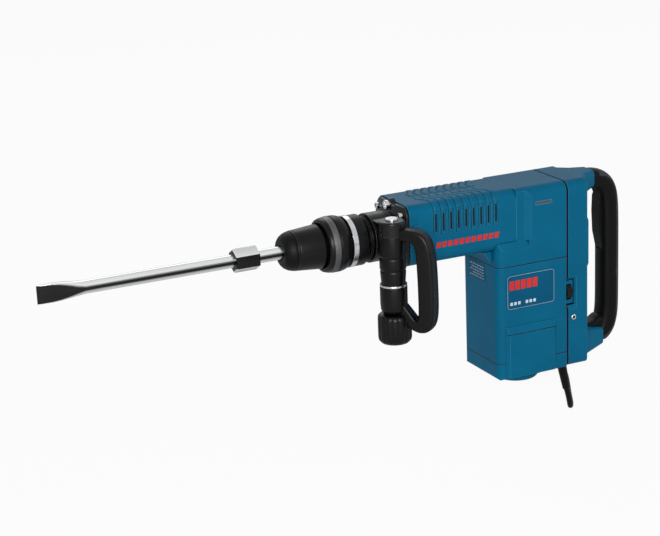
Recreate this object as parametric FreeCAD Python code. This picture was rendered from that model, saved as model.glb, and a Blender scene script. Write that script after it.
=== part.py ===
"""Electric demolition hammer: a horizontal percussion barrel over an upright motor.

Working frame while modelling: X runs along the hammer axis with the chisel towards -X, X = 0 is
the front face of the motor housing, Z = 0 is the hammer axis and +Z is up. Every part is moved
on saving, so that the finished model has its origin at the middle of the main grip.
Sizes are in millimetres.
"""
import FreeCAD, Part
import math
import os

V = FreeCAD.Vector
X_AXIS = V(1, 0, 0)
Y_AXIS = V(0, 1, 0)
Z_AXIS = V(0, 0, 1)

# ---- housings -------------------------------------------------------------------------------
BODY_LENGTH = 111.5       # motor and gear housings, along X
BODY_HALF_WIDTH = 50.5
BODY_CORNER = 12.0
WALL = 3.5
TOP_Z = 46.0              # top of the barrel and of the gear housing
SPLIT_Z = -61.4           # joint between gear housing and motor housing
CAP_Z = -203.2            # joint between motor housing and bottom cap
BOTTOM_Z = -227.6
BOSS_DROP = 15.0          # how far the bearing boss stands below the bottom cap
BOSS_R = 33.0
BARREL_FRONT = -133.0
BARREL_BACK = 33.0
BARREL_HALF_WIDTH = 46.0
BARREL_BOTTOM = -40.0
BARREL_CORNER = 14.0
VALLEY_BACK = 56.0        # where the gear housing's side reaches its full width
LEDGE_TOP = -28.0
SEAL_THICK = 3.0
SHELL_BACK = 146.0        # rear face of the rear shell
SEAM_GROOVE = 1.0

COVER_LEFT = 11.4         # raised panels over the brushes
COVER_RIGHT = 92.5
COVER_TOP = -149.5
COVER_BOTTOM = -224.0
COVER_PROUD = 4.5
LAMP_X = 122.7            # service lamp beside the speed wheel
LAMP_Z = -153.0

# ---- motor ----------------------------------------------------------------------------------
MOTOR_X = 56.5
MOTOR_SHAFT_R = 6.0
STATOR_R = 41.0
ARMATURE_R = 26.3
STATOR_TOP = -125.0
STATOR_BOTTOM = -182.0
AIR_GAP = 0.7
FAN_TOP = -95.0
FAN_BOTTOM = -111.0
COMMUTATOR_R = 15.0
BRUSH_Z = -199.0
LOWER_BEARING_R = 13.0
LOWER_BEARING_TOP = -222.0
LOWER_BEARING_BOTTOM = -232.0
UPPER_BEARING_R = 13.0
UPPER_BEARING_TOP = -74.0
UPPER_BEARING_BOTTOM = -84.0

# ---- percussion mechanism -------------------------------------------------------------------
TUBE_R = 29.0             # gear case tube, outside
CYLINDER_BORE = 18.0
CYLINDER_WALL = 3.0
SLIDE_GAP = 0.1           # piston and striker in the cylinder, radial
RUN_GAP = 0.05            # shafts in bearings, radial
CRANK_THROW = 15.0
ROD_LENGTH = 62.0
PISTON_LENGTH = 34.0
PISTON_SKIRT = 11.3       # piston pin to the skirt's open end
STRIKER_LENGTH = 35.0
GEAR_MODULE = 1.25
PINION_TEETH = 7
CRANK_TEETH = 33
CRANKSHAFT_R = 7.5
CRANK_X = MOTOR_X - GEAR_MODULE * (PINION_TEETH + CRANK_TEETH) / 2
GEAR_TOP = -48.0
GEAR_BOTTOM = -58.0
PINION_NECK_R = 2.8
PLATE_TOP = -62.0         # gear plate between motor and gear room
CRANK_BEARING_R = 14.0
CASE_FRONT = 0.0          # crankcase casting
CASE_BACK = 62.0
CASE_WALL = 3.0
CASE_HALF = 34.0
CASE_FLOOR = -30.0
DISC_TOP = -18.0          # top face of the crank disc
DISC_THICK = 10.0
DISC_R = 20.0
PIN_R = 5.0               # crank pin
PISTON_PIN_R = 5.0
PISTON_PIN_X = CRANK_X - math.sqrt(ROD_LENGTH ** 2 - CRANK_THROW ** 2)
ROD_ANGLE = math.degrees(math.asin(CRANK_THROW / ROD_LENGTH))
CYLINDER_R = CYLINDER_BORE + CYLINDER_WALL
CYLINDER_FRONT = -125.0
DAMPER_LENGTH = 6.0
STRIKER_FRONT = -110.0
ANVIL_R = 10.0
ANVIL_COLLAR_R = 15.0
ANVIL_BACK = -121.0
GUIDE_BORE_R = ANVIL_R + SLIDE_GAP

FLANGE_SCREW_X = -138.5
FLANGE_SCREWS = [(-33.0, 33.0), (33.0, 33.0), (-33.0, -28.0), (33.0, -28.0)]
CASE_BOLT_X = -141.0
CASE_BOLT_Z = 42.0

# ---- tool holder and chisel -----------------------------------------------------------------
NECK_FRONT = -204.0
NECK_BACK = -140.0
NECK_R = 27.5
NECK_WALL = 3.5
HOLDER_R = 21.0           # tool sleeve, outside
SHANK_R = 9.0
NOSE_X = -307.0
SLEEVE_FRONT = -289.0
SLEEVE_BACK = -250.0
SLEEVE_R = 30.0
SLEEVE_TRAVEL = 8.0
RING_FRONT = -247.0
RING_BACK = -213.0
RING_R = 38.5
RING_TRAVEL = 3.0
CHISEL_TIP = -638.0
CHISEL_BACK = -205.0
CHISEL_TRAVEL = 12.0
COLLAR_FRONT = -375.0
COLLAR_BACK = -337.0
COLLAR_ACROSS = 29.0      # hexagon collar, across flats
BLADE_START = -560.0
BLADE_WIDTH = 25.0
ROLLER_R = 3.5
ROLLER_AXIS_R = 10.3
ROLLER_FRONT = -262.0
ROLLER_LENGTH = 14.0
GROOVE_FRONT = ROLLER_FRONT - 2.0
GROOVE_BACK = ROLLER_FRONT + ROLLER_LENGTH + CHISEL_TRAVEL + 10.0
SKIRT_R = 26.4            # rear skirt of the locking sleeve
SKIRT_BACK = -230.0
SPRING_R = 22.6
SPRING_FRONT = -270.0
GAP = 0.3                 # between pieces that move past each other

# ---- auxiliary handle -----------------------------------------------------------------------
STEM_X = -165.0
STEM_Y = -55.0
STEM_R = 18.0
CLAMP_FRONT = -177.0
CLAMP_BACK = -151.0
CLAMP_R = 34.0
STEM_TOP = 36.0
SWIVEL_Z = 16.0           # joint between clamp head and swivelling stem
WHITE_RING_Z = -45.0      # step in the stem
KNOB_TOP = -93.0
KNOB_BOTTOM = -138.0
KNOB_R = 23.0
LOOP_REACH = 50.0         # stem axis to the middle of the loop's grip bar
LOOP_ANGLE = -50.3        # direction of the loop in plan, from +X
LOOP_TOP = 30.0
LOOP_BOTTOM = -116.0
LOOP_BAR = 24.0
BOLT_R = 5.0

# ---- main handle ----------------------------------------------------------------------------
GRIP_X = 213.0
GRIP_Z = -100.0
GRIP_THICK = 30.0
GRIP_HALF_WIDTH = 17.0
GRIP_TOP = 46.0
GRIP_BOTTOM = -215.0
TRIGGER_TOP = 13.0
TRIGGER_BOTTOM = -75.0
TRIGGER_HALF_WIDTH = 9.0
TRIGGER_PROUD = 6.0
TRIGGER_PIVOT_X = GRIP_X - GRIP_THICK / 2 + 5.0
TRIGGER_PIVOT_Z = TRIGGER_TOP - 5.0
SWITCH_BACK = TRIGGER_PIVOT_X + 23.0
GRIP_FRONT_JOINT = 180.0  # where the rubber grip meets the upper arm
LOWER_JOINT_X = 196.0     # where it meets the lower arm

# ---- speed wheel ----------------------------------------------------------------------------
WHEEL_X = 117.0
WHEEL_Y = -38.5
WHEEL_Z = -116.0
WHEEL_R = 13.0
WHEEL_THICK = 8.0

# ---- cord -----------------------------------------------------------------------------------
CORD_R = 4.25
GROUND_Z = -320.0         # the surface on which the lead lies below the held tool
BOOT_TOP = V(131.0, 0, -226.0)
BOOT_END = V(143.0, 0, -281.0)
COIL_X = 186.0
COIL_Y = 216.0
COIL_MEAN_R = 42.0
COIL_HALF_WIDTH = 17.0
COIL_HEIGHT = 36.0
PLUG_ANGLE = 0.0
LEAD_Z = GROUND_Z + CORD_R
# The route of the lead from its boot to the coil, chosen by hand.
LEAD_ROUTE = [
    BOOT_END,
    V(146.5, 0.0, -292.5),
    V(149.5, 1.5, -303.5),
    V(155.0, 7.5, LEAD_Z),
    V(165.0, 22.5, LEAD_Z),
    V(181.0, 52.0, LEAD_Z),
    V(203.0, 90.0, LEAD_Z),
    V(223.5, 127.0, LEAD_Z),
    V(236.0, 155.0, LEAD_Z),
    V(240.5, 182.0, LEAD_Z),
    V(240.5, 208.0, LEAD_Z),
]

ORIGIN = V(GRIP_X, 0, GRIP_Z)
os.makedirs("parts", exist_ok=True)


# ---- helpers --------------------------------------------------------------------------------
def save(name, shape):
    """Moves a part to the model's origin and writes it."""
    solids = [s.copy() for s in shape.Solids]
    for solid in solids:
        solid.translate(ORIGIN * -1)
    result = solids[0] if len(solids) == 1 else Part.makeCompound(solids)
    result.exportStep("parts/" + name + ".step")


def block(x0, x1, y0, y1, z0, z1):
    return Part.makeBox(x1 - x0, y1 - y0, z1 - z0, V(x0, y0, z0))


def rod_x(r, x0, x1, y=0.0, z=0.0):
    return Part.makeCylinder(r, x1 - x0, V(x0, y, z), X_AXIS)


def rod_y(r, y0, y1, x=0.0, z=0.0):
    return Part.makeCylinder(r, y1 - y0, V(x, y0, z), Y_AXIS)


def rod_z(r, z0, z1, x=0.0, y=0.0):
    return Part.makeCylinder(r, z1 - z0, V(x, y, z0), Z_AXIS)


def ring_x(r_out, r_in, x0, x1, y=0.0, z=0.0):
    return rod_x(r_out, x0, x1, y, z).cut(rod_x(r_in, x0 - 1, x1 + 1, y, z))


def ring_z(r_out, r_in, z0, z1, x=0.0, y=0.0):
    return rod_z(r_out, z0, z1, x, y).cut(rod_z(r_in, z0 - 1, z1 + 1, x, y))


def closed_face(points):
    return Part.Face(Part.makePolygon(points + [points[0]]))


def turned_x(profile):
    """A solid turned about the hammer axis from (x, radius) points."""
    return closed_face([V(x, 0, r) for x, r in profile]).revolve(V(0, 0, 0), X_AXIS, 360)


def turned_z(profile, x, y):
    """A solid turned about an upright axis at (x, y) from (radius, z) points."""
    return closed_face([V(x + r, y, z) for r, z in profile]).revolve(V(x, y, 0), Z_AXIS, 360)


def plate_y(points, y0, y1):
    """A plate with an (x, z) outline, extruded from y0 to y1."""
    return closed_face([V(x, y0, z) for x, z in points]).extrude(V(0, y1 - y0, 0))


def rounded_wire(a0, a1, b0, b1, radii, place):
    """A rectangle with rounded corners; radii go round from (a0, b0), place maps (a, b) to 3-D."""
    corners = [(a0, b0, 1, 1), (a1, b0, -1, 1), (a1, b1, -1, -1), (a0, b1, 1, -1)]
    edges = []
    ends = []
    for (a, b, sa, sb), r in zip(corners, radii):
        near_a = (a, b + sb * r)
        near_b = (a + sa * r, b)
        half = r * (1 - math.sqrt(0.5))
        mid = (a + sa * half, b + sb * half)
        first, last = (near_a, near_b) if sa * sb > 0 else (near_b, near_a)
        ends.append((first, mid, last))
    for i, (first, mid, last) in enumerate(ends):
        edges.append(Part.Arc(place(*first), place(*mid), place(*last)).toShape())
        following = ends[(i + 1) % 4][0]
        edges.append(Part.LineSegment(place(*last), place(*following)).toShape())
    return Part.Wire(edges)


def prism_z(x0, x1, y0, y1, z0, z1, r, r_back=None):
    """An upright prism with rounded vertical edges."""
    rear = r if r_back is None else r_back
    wire = rounded_wire(x0, x1, y0, y1, [r, rear, rear, r], lambda a, b: V(a, b, z0))
    return Part.Face(wire).extrude(V(0, 0, z1 - z0))


def prism_x(x0, x1, y0, y1, z0, z1, r_bottom, r_top):
    """A prism along X whose long edges are rounded."""
    radii = [r_bottom, r_bottom, r_top, r_top]
    wire = rounded_wire(y0, y1, z0, z1, radii, lambda a, b: V(x0, a, b))
    return Part.Face(wire).extrude(V(x1 - x0, 0, 0))


def prism_y(x0, x1, y0, y1, z0, z1, r):
    """A prism across the tool whose long edges are rounded."""
    wire = rounded_wire(x0, x1, z0, z1, [r] * 4, lambda a, b: V(a, y0, b))
    return Part.Face(wire).extrude(V(0, y1 - y0, 0))


def joined(shapes):
    return shapes[0].multiFuse(shapes[1:]).removeSplitter()


def mirrored(shape):
    """The same shape on the tool's other side."""
    return shape.mirror(V(0, 0, 0), Y_AXIS)


# ---- housings -------------------------------------------------------------------------------
def vents(side):
    """Slots through the barrel's side, and the grooves between them that wrap over the top."""
    count = 9
    pitch = 11.7
    first = -94.0
    slot_low = 6.0
    slot_high = 31.0
    groove = 1.2
    depth = 1.2
    jog = 9.0
    cuts = []
    outer = BARREL_HALF_WIDTH
    for i in range(count):
        x = first + i * pitch
        cuts.append(block(x, x + 1.8, outer - 6, outer + 1, slot_low, slot_high))
        panel = block(x + 1.8, x + 5.0, outer - 0.8, outer + 1, slot_low - 3, slot_high + 4)
        cuts.append(panel)
        g = x - 3.4
        cuts.append(block(g, g + groove, outer - depth, outer + 1, slot_low - 6, TOP_Z - BARREL_CORNER))
        cuts.append(block(g, g + groove, outer - 19, outer + 1, TOP_Z - BARREL_CORNER, TOP_Z + 1)
                    .cut(rod_x(BARREL_CORNER - depth, g - 1, g + 2, outer - BARREL_CORNER,
                               TOP_Z - BARREL_CORNER))
                    .cut(block(g - 1, g + 2, outer - 20, outer - BARREL_CORNER, 0, TOP_Z - depth)))
        z0 = TOP_Z - depth
        slant = Part.Face(Part.makePolygon([
            V(g, outer - 19, z0), V(g + groove, outer - 19, z0),
            V(g + groove - jog, outer - 31, z0), V(g - jog, outer - 31, z0), V(g, outer - 19, z0)]))
        cuts.append(slant.extrude(V(0, 0, depth + 1)))
        cuts.append(block(g - jog, g - jog + groove, 2.0, outer - 31, z0, TOP_Z + 1))
    cut = Part.makeCompound(cuts)
    return cut if side > 0 else mirrored(cut)


def barrel_housing():
    outer = prism_x(BARREL_FRONT, BARREL_BACK, -BARREL_HALF_WIDTH, BARREL_HALF_WIDTH,
                    BARREL_BOTTOM, TOP_Z, 18.0, BARREL_CORNER)
    inner = prism_x(BARREL_FRONT - 1, BARREL_BACK + 1, WALL - BARREL_HALF_WIDTH,
                    BARREL_HALF_WIDTH - WALL, BARREL_BOTTOM + WALL, TOP_Z - WALL,
                    18.0 - WALL, BARREL_CORNER - WALL)
    gear_room = block(0, BARREL_BACK + 1, -60, 60, BARREL_BOTTOM - 1, LEDGE_TOP)
    shell = outer.cut(inner).cut(gear_room).cut(vents(1)).cut(vents(-1))
    pad = prism_y(-128.0, -117.0, BARREL_HALF_WIDTH - 1, BARREL_HALF_WIDTH + 1.5, 6.0, 20.0, 2.0)
    return joined([shell, pad, mirrored(pad)])


def gear_housing():
    """Covers the crank above the motor; its front ledge reaches under the barrel."""
    outer = prism_x(BARREL_BACK, BODY_LENGTH, -BODY_HALF_WIDTH, BODY_HALF_WIDTH,
                    SPLIT_Z, TOP_Z, 0.5, BARREL_CORNER)
    ledge = body_prism(SPLIT_Z, LEDGE_TOP, 0.0)
    gusset = plate_y([(-14, BARREL_BOTTOM), (0, SPLIT_Z + 4), (6, SPLIT_Z + 4), (6, BARREL_BOTTOM)],
                     -34, 34)
    slopes = []
    for s in (1, -1):
        y_in = BARREL_HALF_WIDTH * s
        y_out = (BODY_HALF_WIDTH + 1) * s
        slope = closed_face([V(-1, y_in, LEDGE_TOP), V(-1, y_out, LEDGE_TOP + 1),
                             V(-1, y_out, LEDGE_TOP - 13)])
        slopes.append(slope.extrude(V(VALLEY_BACK - 4, 0, 0)))
        valley = Part.Face(Part.makePolygon([
            V(BARREL_BACK - 1, y_in, LEDGE_TOP), V(VALLEY_BACK - 10, y_in, LEDGE_TOP),
            V(VALLEY_BACK + 1, y_out, LEDGE_TOP), V(BARREL_BACK - 1, y_out, LEDGE_TOP),
            V(BARREL_BACK - 1, y_in, LEDGE_TOP)]))
        slopes.append(valley.extrude(V(0, 0, TOP_Z - LEDGE_TOP + 1)))
    body = joined([outer, ledge, gusset]).cut(Part.makeCompound(slopes))
    room = prism_x(BARREL_BACK - 1, BODY_LENGTH - WALL, WALL - BARREL_HALF_WIDTH,
                   BARREL_HALF_WIDTH - WALL, SPLIT_Z - 1, TOP_Z - WALL, 0.5,
                   BARREL_CORNER - WALL)
    gear_room = block(WALL, BODY_LENGTH - WALL, WALL - BARREL_HALF_WIDTH,
                      BARREL_HALF_WIDTH - WALL, SPLIT_Z - 1, LEDGE_TOP + 1)
    under_barrel = block(-20, 0, -60, 60, BARREL_BOTTOM, LEDGE_TOP + 20)
    case_seat = block(CASE_FRONT, CASE_BACK, -CASE_HALF, CASE_HALF, CASE_FLOOR - 9.0, CASE_HALF)
    body = body.cut(room).cut(gear_room).cut(under_barrel).cut(case_seat)
    for s in (1, -1):
        inlay = inlay_slot(s, 1.5)
        body = body.cut(inlay)
    return body


def side_inlays():
    return Part.makeCompound([inlay_slot(1, 1.5), inlay_slot(-1, 1.5)])


def inlay_slot(side, depth):
    """The small slot in the gear housing's side that the grey inlay fills."""
    outer = BODY_HALF_WIDTH
    slot = prism_y(61.0, 88.0, outer - depth, outer, 20.5, 25.5, 2.4)
    return slot if side > 0 else mirrored(slot)


def body_prism(z0, z1, inset):
    """The lower body's plan: round front corners, square at the rear seam."""
    return prism_z(inset, BODY_LENGTH - inset, inset - BODY_HALF_WIDTH, BODY_HALF_WIDTH - inset,
                   z0, z1, BODY_CORNER - inset, 0.3)


def seam_groove(z):
    """A shallow groove round the front and sides of the body just below z."""
    around = block(-2, BODY_LENGTH + 2, -60, 60, z - SEAM_GROOVE, z + 1)
    return around.cut(prism_z(SEAM_GROOVE, BODY_LENGTH + 3, SEAM_GROOVE - BODY_HALF_WIDTH,
                              BODY_HALF_WIDTH - SEAM_GROOVE, z - 2, z + 2,
                              BODY_CORNER - SEAM_GROOVE, 0.3))


def motor_housing():
    outer = body_prism(CAP_Z, SPLIT_Z, 0.0)
    ribs = []
    seat = STATOR_R + 0.2
    for s in (1, -1):
        inner_x = MOTOR_X + s * seat
        wall_x = BODY_LENGTH - WALL if s > 0 else WALL
        ribs.append(block(min(inner_x, wall_x), max(inner_x, wall_x), -3, 3,
                          STATOR_BOTTOM, STATOR_TOP))
        inner_y = s * seat
        wall_y = s * (BODY_HALF_WIDTH - WALL)
        ribs.append(block(MOTOR_X - 3, MOTOR_X + 3, min(inner_y, wall_y), max(inner_y, wall_y),
                          STATOR_BOTTOM, STATOR_TOP))
    shell = joined([outer.cut(body_prism(CAP_Z - 1, SPLIT_Z + 1, WALL))] + ribs)
    shell = shell.cut(seam_groove(SPLIT_Z)).cut(wheel_pocket())
    windows = []
    for s in (1, -1):
        y_in = BODY_HALF_WIDTH - WALL - 1
        window = block(MOTOR_X - 11, MOTOR_X + 11, y_in, BODY_HALF_WIDTH + 1,
                       CAP_Z - 1, BRUSH_Z + 12)
        windows.append(window if s > 0 else mirrored(window))
    return shell.cut(Part.makeCompound(windows))


def bottom_cap():
    outer = body_prism(BOTTOM_Z, CAP_Z, 0.0)
    outer = outer.common(prism_x(-1, BODY_LENGTH + 1, -BODY_HALF_WIDTH, BODY_HALF_WIDTH,
                                 BOTTOM_Z, CAP_Z + 1, 6.0, 0.3))
    front = rounded_wire(0, BODY_LENGTH, BOTTOM_Z, CAP_Z + 1, [6.0, 0.3, 0.3, 0.3],
                         lambda a, b: V(a, -60, b))
    outer = outer.common(Part.Face(front).extrude(V(0, 120, 0)))
    boss = rod_z(BOSS_R, BOTTOM_Z - BOSS_DROP, BOTTOM_Z + 4, MOTOR_X, 0)
    boss_edges = [e for e in boss.Edges if abs(e.BoundBox.ZMax - (BOTTOM_Z - BOSS_DROP)) < 0.01]
    boss = boss.makeFillet(7.0, boss_edges)
    room = body_prism(BOTTOM_Z + WALL, CAP_Z + 1, WALL)
    cup = rod_z(BOSS_R - 6, BOTTOM_Z - BOSS_DROP + 5, BOTTOM_Z + WALL + 1, MOTOR_X, 0)
    seat = ring_z(LOWER_BEARING_R + 4, LOWER_BEARING_R, BOTTOM_Z - BOSS_DROP + 4,
                  LOWER_BEARING_TOP, MOTOR_X, 0)
    return joined([outer, boss]).cut(room).cut(cup).cut(seam_groove(CAP_Z)).fuse(seat)


def brush_covers():
    """Raised panels over the carbon brushes, each with a sloping lip along its top."""
    base = BODY_HALF_WIDTH
    lip = 9.0
    body = block(COVER_LEFT, COVER_RIGHT, base, base + COVER_PROUD, COVER_BOTTOM, COVER_TOP)
    uprights = [e for e in body.Edges
                if abs(e.BoundBox.YMin - (base + COVER_PROUD)) < 0.01 and e.BoundBox.ZLength > 1]
    body = body.makeChamfer(COVER_PROUD - 0.5, uprights)
    slope = closed_face([V(0, base + 1.0, COVER_TOP + 1), V(0, base + 9, COVER_TOP + 1),
                         V(0, base + 9, COVER_TOP - lip), V(0, base + COVER_PROUD, COVER_TOP - lip),
                         V(0, base + 1.0, COVER_TOP)])
    body = body.cut(slope.extrude(V(BODY_LENGTH, 0, 0)))
    line = block(COVER_LEFT - 1, COVER_RIGHT + 1, base + COVER_PROUD - 0.8, base + 9,
                 COVER_TOP - lip - 1.6, COVER_TOP - lip - 0.6)
    body = body.cut(line)
    return Part.makeCompound([body, mirrored(body)])


def badge_plates():
    """Thin name plates, left blank, one on each side."""
    plate = prism_y(13.3, 90.8, BODY_HALF_WIDTH, BODY_HALF_WIDTH + 0.8, -124.1, -74.3, 5.0)
    return Part.makeCompound([plate, mirrored(plate)])


def rating_plate():
    wire = rounded_wire(-14.0, 30.0, -91.0, -64.5, [1.5] * 4, lambda a, b: V(-0.6, a, b))
    return Part.Face(wire).extrude(V(0.6, 0, 0))


def body_outline(x0, x1, inset):
    """The rear shell's outline: the gear housing's rounded top over the motor housing."""
    return prism_x(x0, x1, inset - BODY_HALF_WIDTH, BODY_HALF_WIDTH - inset,
                   BOTTOM_Z + 1.5 + inset, TOP_Z - inset, 8.0 - inset, BARREL_CORNER - inset)


def seam_seal():
    return body_outline(BODY_LENGTH, BODY_LENGTH + SEAL_THICK, 1.0).cut(
        body_outline(BODY_LENGTH - 1, BODY_LENGTH + SEAL_THICK + 1, 5.0)).cut(wheel_pocket())


def wheel_pocket():
    """The tapered recess around the speed wheel."""
    y_face = -BODY_HALF_WIDTH
    depth = 5.0
    outer = rounded_wire(110.0, 128.5, -142.0, -92.0, [2.0] * 4,
                         lambda a, b: V(a, y_face - 1, b))
    inner = rounded_wire(112.5, 124.0, -133.0, -99.0, [1.0] * 4,
                         lambda a, b: V(a, y_face + depth, b))
    return Part.makeLoft([outer, inner], True, True)


def arm_section(x, half_width, z0, z1, r):
    return rounded_wire(-half_width, half_width, z0, z1, [r] * 4, lambda a, b: V(x, a, b))


def lower_arm():
    return Part.makeLoft([arm_section(SHELL_BACK - 0.5, 44.0, -225.0, -172.0, 8.0),
                          arm_section(SHELL_BACK + 16, 27.0, -226.0, -186.0, 8.0),
                          arm_section(LOWER_JOINT_X, GRIP_HALF_WIDTH, -219.0, -192.0, 7.0)],
                         True, True)


def rear_shell():
    x0 = BODY_LENGTH + SEAL_THICK
    shell = body_outline(x0, SHELL_BACK, 0.0)
    upper_arm = Part.makeLoft([arm_section(SHELL_BACK - 0.5, 45.0, 8.0, TOP_Z - 0.6, 13.0),
                               arm_section(SHELL_BACK + 14, 27.0, 16.0, TOP_Z - 0.3, 9.0),
                               arm_section(GRIP_FRONT_JOINT, GRIP_HALF_WIDTH, 20.0, TOP_Z, 8.0)],
                              True, True)
    room = body_outline(x0 - 1, SHELL_BACK - WALL, WALL)
    wheel_room = rod_x(WHEEL_R + 1, WHEEL_X - WHEEL_THICK / 2 - 1, WHEEL_X + WHEEL_THICK / 2 + 1,
                       WHEEL_Y, WHEEL_Z)
    boot_hole = Part.makeCylinder(8.0, 30, BOOT_TOP + V(-3, 0, 14), V(12, 0, -55))
    shell = joined([shell.cut(room), upper_arm, lower_arm()])
    return shell.cut(wheel_pocket()).cut(wheel_room).cut(boot_hole).cut(
        rod_y(3.5, -BODY_HALF_WIDTH - 1, WALL + 1 - BODY_HALF_WIDTH, LAMP_X, LAMP_Z))


def rear_plate():
    plate = prism_x(SHELL_BACK, SHELL_BACK + 5.0, -30.0, 30.0, -84.0, -11.0, 3.0, 3.0)
    return plate


def main_grip():
    """Rubber-covered D-handle bar; its front has the trigger's slot."""
    front = GRIP_X - GRIP_THICK / 2
    back = GRIP_X + GRIP_THICK / 2
    bar = prism_z(front, back, -GRIP_HALF_WIDTH, GRIP_HALF_WIDTH, -192.0, 20.0, 11.0)
    top = corner_block(GRIP_FRONT_JOINT, back, 20.0, GRIP_TOP, 22.0)
    low = plate_y([(front, -192.0), (back, -192.0), (back - 2, -199.0), (back - 12, -212.0),
                   (back - 20, GRIP_BOTTOM), (LOWER_JOINT_X, -219.0 + 4), (LOWER_JOINT_X, -192.0)],
                  -GRIP_HALF_WIDTH, GRIP_HALF_WIDTH)
    toe = plate_y([(front + 1, -165.0), (front - 10, -179.0), (front - 28, -183.5),
                   (SHELL_BACK + 4, -184.5), (SHELL_BACK + 4, -200.0), (front + 1, -200.0)],
                  3 - GRIP_HALF_WIDTH, GRIP_HALF_WIDTH - 3)
    toe = max(toe.cut(lower_arm()).Solids, key=lambda solid: solid.Volume)
    grip = joined([bar, top, low, toe])
    slot = block(front - 20, TRIGGER_PIVOT_X + 14, -TRIGGER_HALF_WIDTH - 0.6,
                 TRIGGER_HALF_WIDTH + 0.6, TRIGGER_BOTTOM - 2.0, TRIGGER_TOP + 1.0)
    slot = slot.fuse(block(front, SWITCH_BACK, -8.5, 8.5, -62.0, -8.0))
    pin_hole = rod_y(2.05, -15.0, 15.0, TRIGGER_PIVOT_X, TRIGGER_PIVOT_Z)
    return grip.cut(slot).cut(pin_hole)


def corner_block(x0, x1, z0, z1, r):
    """The bend between the upper arm and the grip bar."""
    edges = [Part.LineSegment(V(x0, 0, z0), V(x0, 0, z1)).toShape(),
             Part.LineSegment(V(x0, 0, z1), V(x1 - r, 0, z1)).toShape(),
             Part.Arc(V(x1 - r, 0, z1), V(x1 - r * (1 - math.sqrt(0.5)), 0,
                      z1 - r * (1 - math.sqrt(0.5))), V(x1, 0, z1 - r)).toShape(),
             Part.LineSegment(V(x1, 0, z1 - r), V(x1, 0, z0)).toShape(),
             Part.LineSegment(V(x1, 0, z0), V(x0, 0, z0)).toShape()]
    face = Part.Face(Part.Wire(edges))
    face.translate(V(0, -GRIP_HALF_WIDTH, 0))
    return face.extrude(V(0, 2 * GRIP_HALF_WIDTH, 0))


def trigger():
    """Long paddle let into the front of the grip, hung on a pin at its top."""
    front = GRIP_X - GRIP_THICK / 2 - TRIGGER_PROUD
    back = TRIGGER_PIVOT_X + 4.0
    outline = [(front + 5, TRIGGER_TOP), (front + 1, TRIGGER_TOP - 10), (front, -20.0),
               (front + 1.5, -50.0), (front + 7.0, TRIGGER_BOTTOM), (back, TRIGGER_BOTTOM),
               (back, TRIGGER_TOP)]
    paddle = plate_y(outline, -TRIGGER_HALF_WIDTH, TRIGGER_HALF_WIDTH)
    return paddle.cut(rod_y(2.05, -20, 20, TRIGGER_PIVOT_X, TRIGGER_PIVOT_Z))


def trigger_pin():
    return rod_y(2.0, -15.0, 15.0, TRIGGER_PIVOT_X, TRIGGER_PIVOT_Z)


def switch_module():
    return block(TRIGGER_PIVOT_X + 14.5, SWITCH_BACK, -8.5, 8.5, -62.0, -8.0)


def electronics_module():
    """Control board with its choke, and the speed wheel's potentiometer and spindle."""
    board = block(128.0, 130.0, -38.0, 38.0, -186.0, -150.0)
    choke = block(130.0, SHELL_BACK - WALL, -26.0, 26.0, -180.0, -156.0)
    return Part.makeCompound([joined([board, choke]), wheel_spindle()])


def speed_wheel():
    wheel = rod_x(WHEEL_R, WHEEL_X - WHEEL_THICK / 2, WHEEL_X + WHEEL_THICK / 2, WHEEL_Y, WHEEL_Z)
    notches = []
    count = 18
    for i in range(count):
        a = 2 * math.pi * i / count
        notches.append(rod_x(0.8, WHEEL_X - WHEEL_THICK, WHEEL_X + WHEEL_THICK,
                             WHEEL_Y + WHEEL_R * math.cos(a), WHEEL_Z + WHEEL_R * math.sin(a)))
    return wheel.cut(Part.makeCompound(notches)).cut(
        rod_x(2.05, WHEEL_X - WHEEL_THICK, WHEEL_X + WHEEL_THICK, WHEEL_Y, WHEEL_Z))


def wheel_spindle():
    spindle = rod_x(2.0, WHEEL_X - WHEEL_THICK / 2, 126.0, WHEEL_Y, WHEEL_Z)
    pot = block(126.0, 134.0, WHEEL_Y - 7, WHEEL_Y + 7, WHEEL_Z - 8, WHEEL_Z + 8)
    stand = block(134.0, SHELL_BACK - WALL, WHEEL_Y - 4, WHEEL_Y + 4, WHEEL_Z - 4, WHEEL_Z + 4)
    return joined([spindle, pot, stand])


def service_lamp():
    return rod_y(3.4, -BODY_HALF_WIDTH - 0.8, WALL + 0.5 - BODY_HALF_WIDTH, LAMP_X, LAMP_Z)


def shell_screws():
    """Recess-headed screws through the four corners of the rear shell."""
    screws = []
    for y in (-40.0, 40.0):
        for z in (2.0, -160.0):
            screw = rod_x(4.2, SHELL_BACK, SHELL_BACK + 2.4, y, z)
            screws.append(screw.cut(rod_x(1.8, SHELL_BACK + 1.0, SHELL_BACK + 3.0, y, z)))
    return Part.makeCompound(screws)


# ---- motor ----------------------------------------------------------------------------------
def stator_core():
    return ring_z(STATOR_R, ARMATURE_R + AIR_GAP, STATOR_BOTTOM, STATOR_TOP, MOTOR_X)


def stator_windings():
    """The ends of the field coils, above and below the core."""
    rings = []
    for z0, z1 in ((STATOR_TOP, STATOR_TOP + 9), (STATOR_BOTTOM - 7, STATOR_BOTTOM)):
        rings.append(ring_z(STATOR_R - 2, ARMATURE_R + 3, z0, z1, MOTOR_X))
    return Part.makeCompound(rings)


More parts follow.
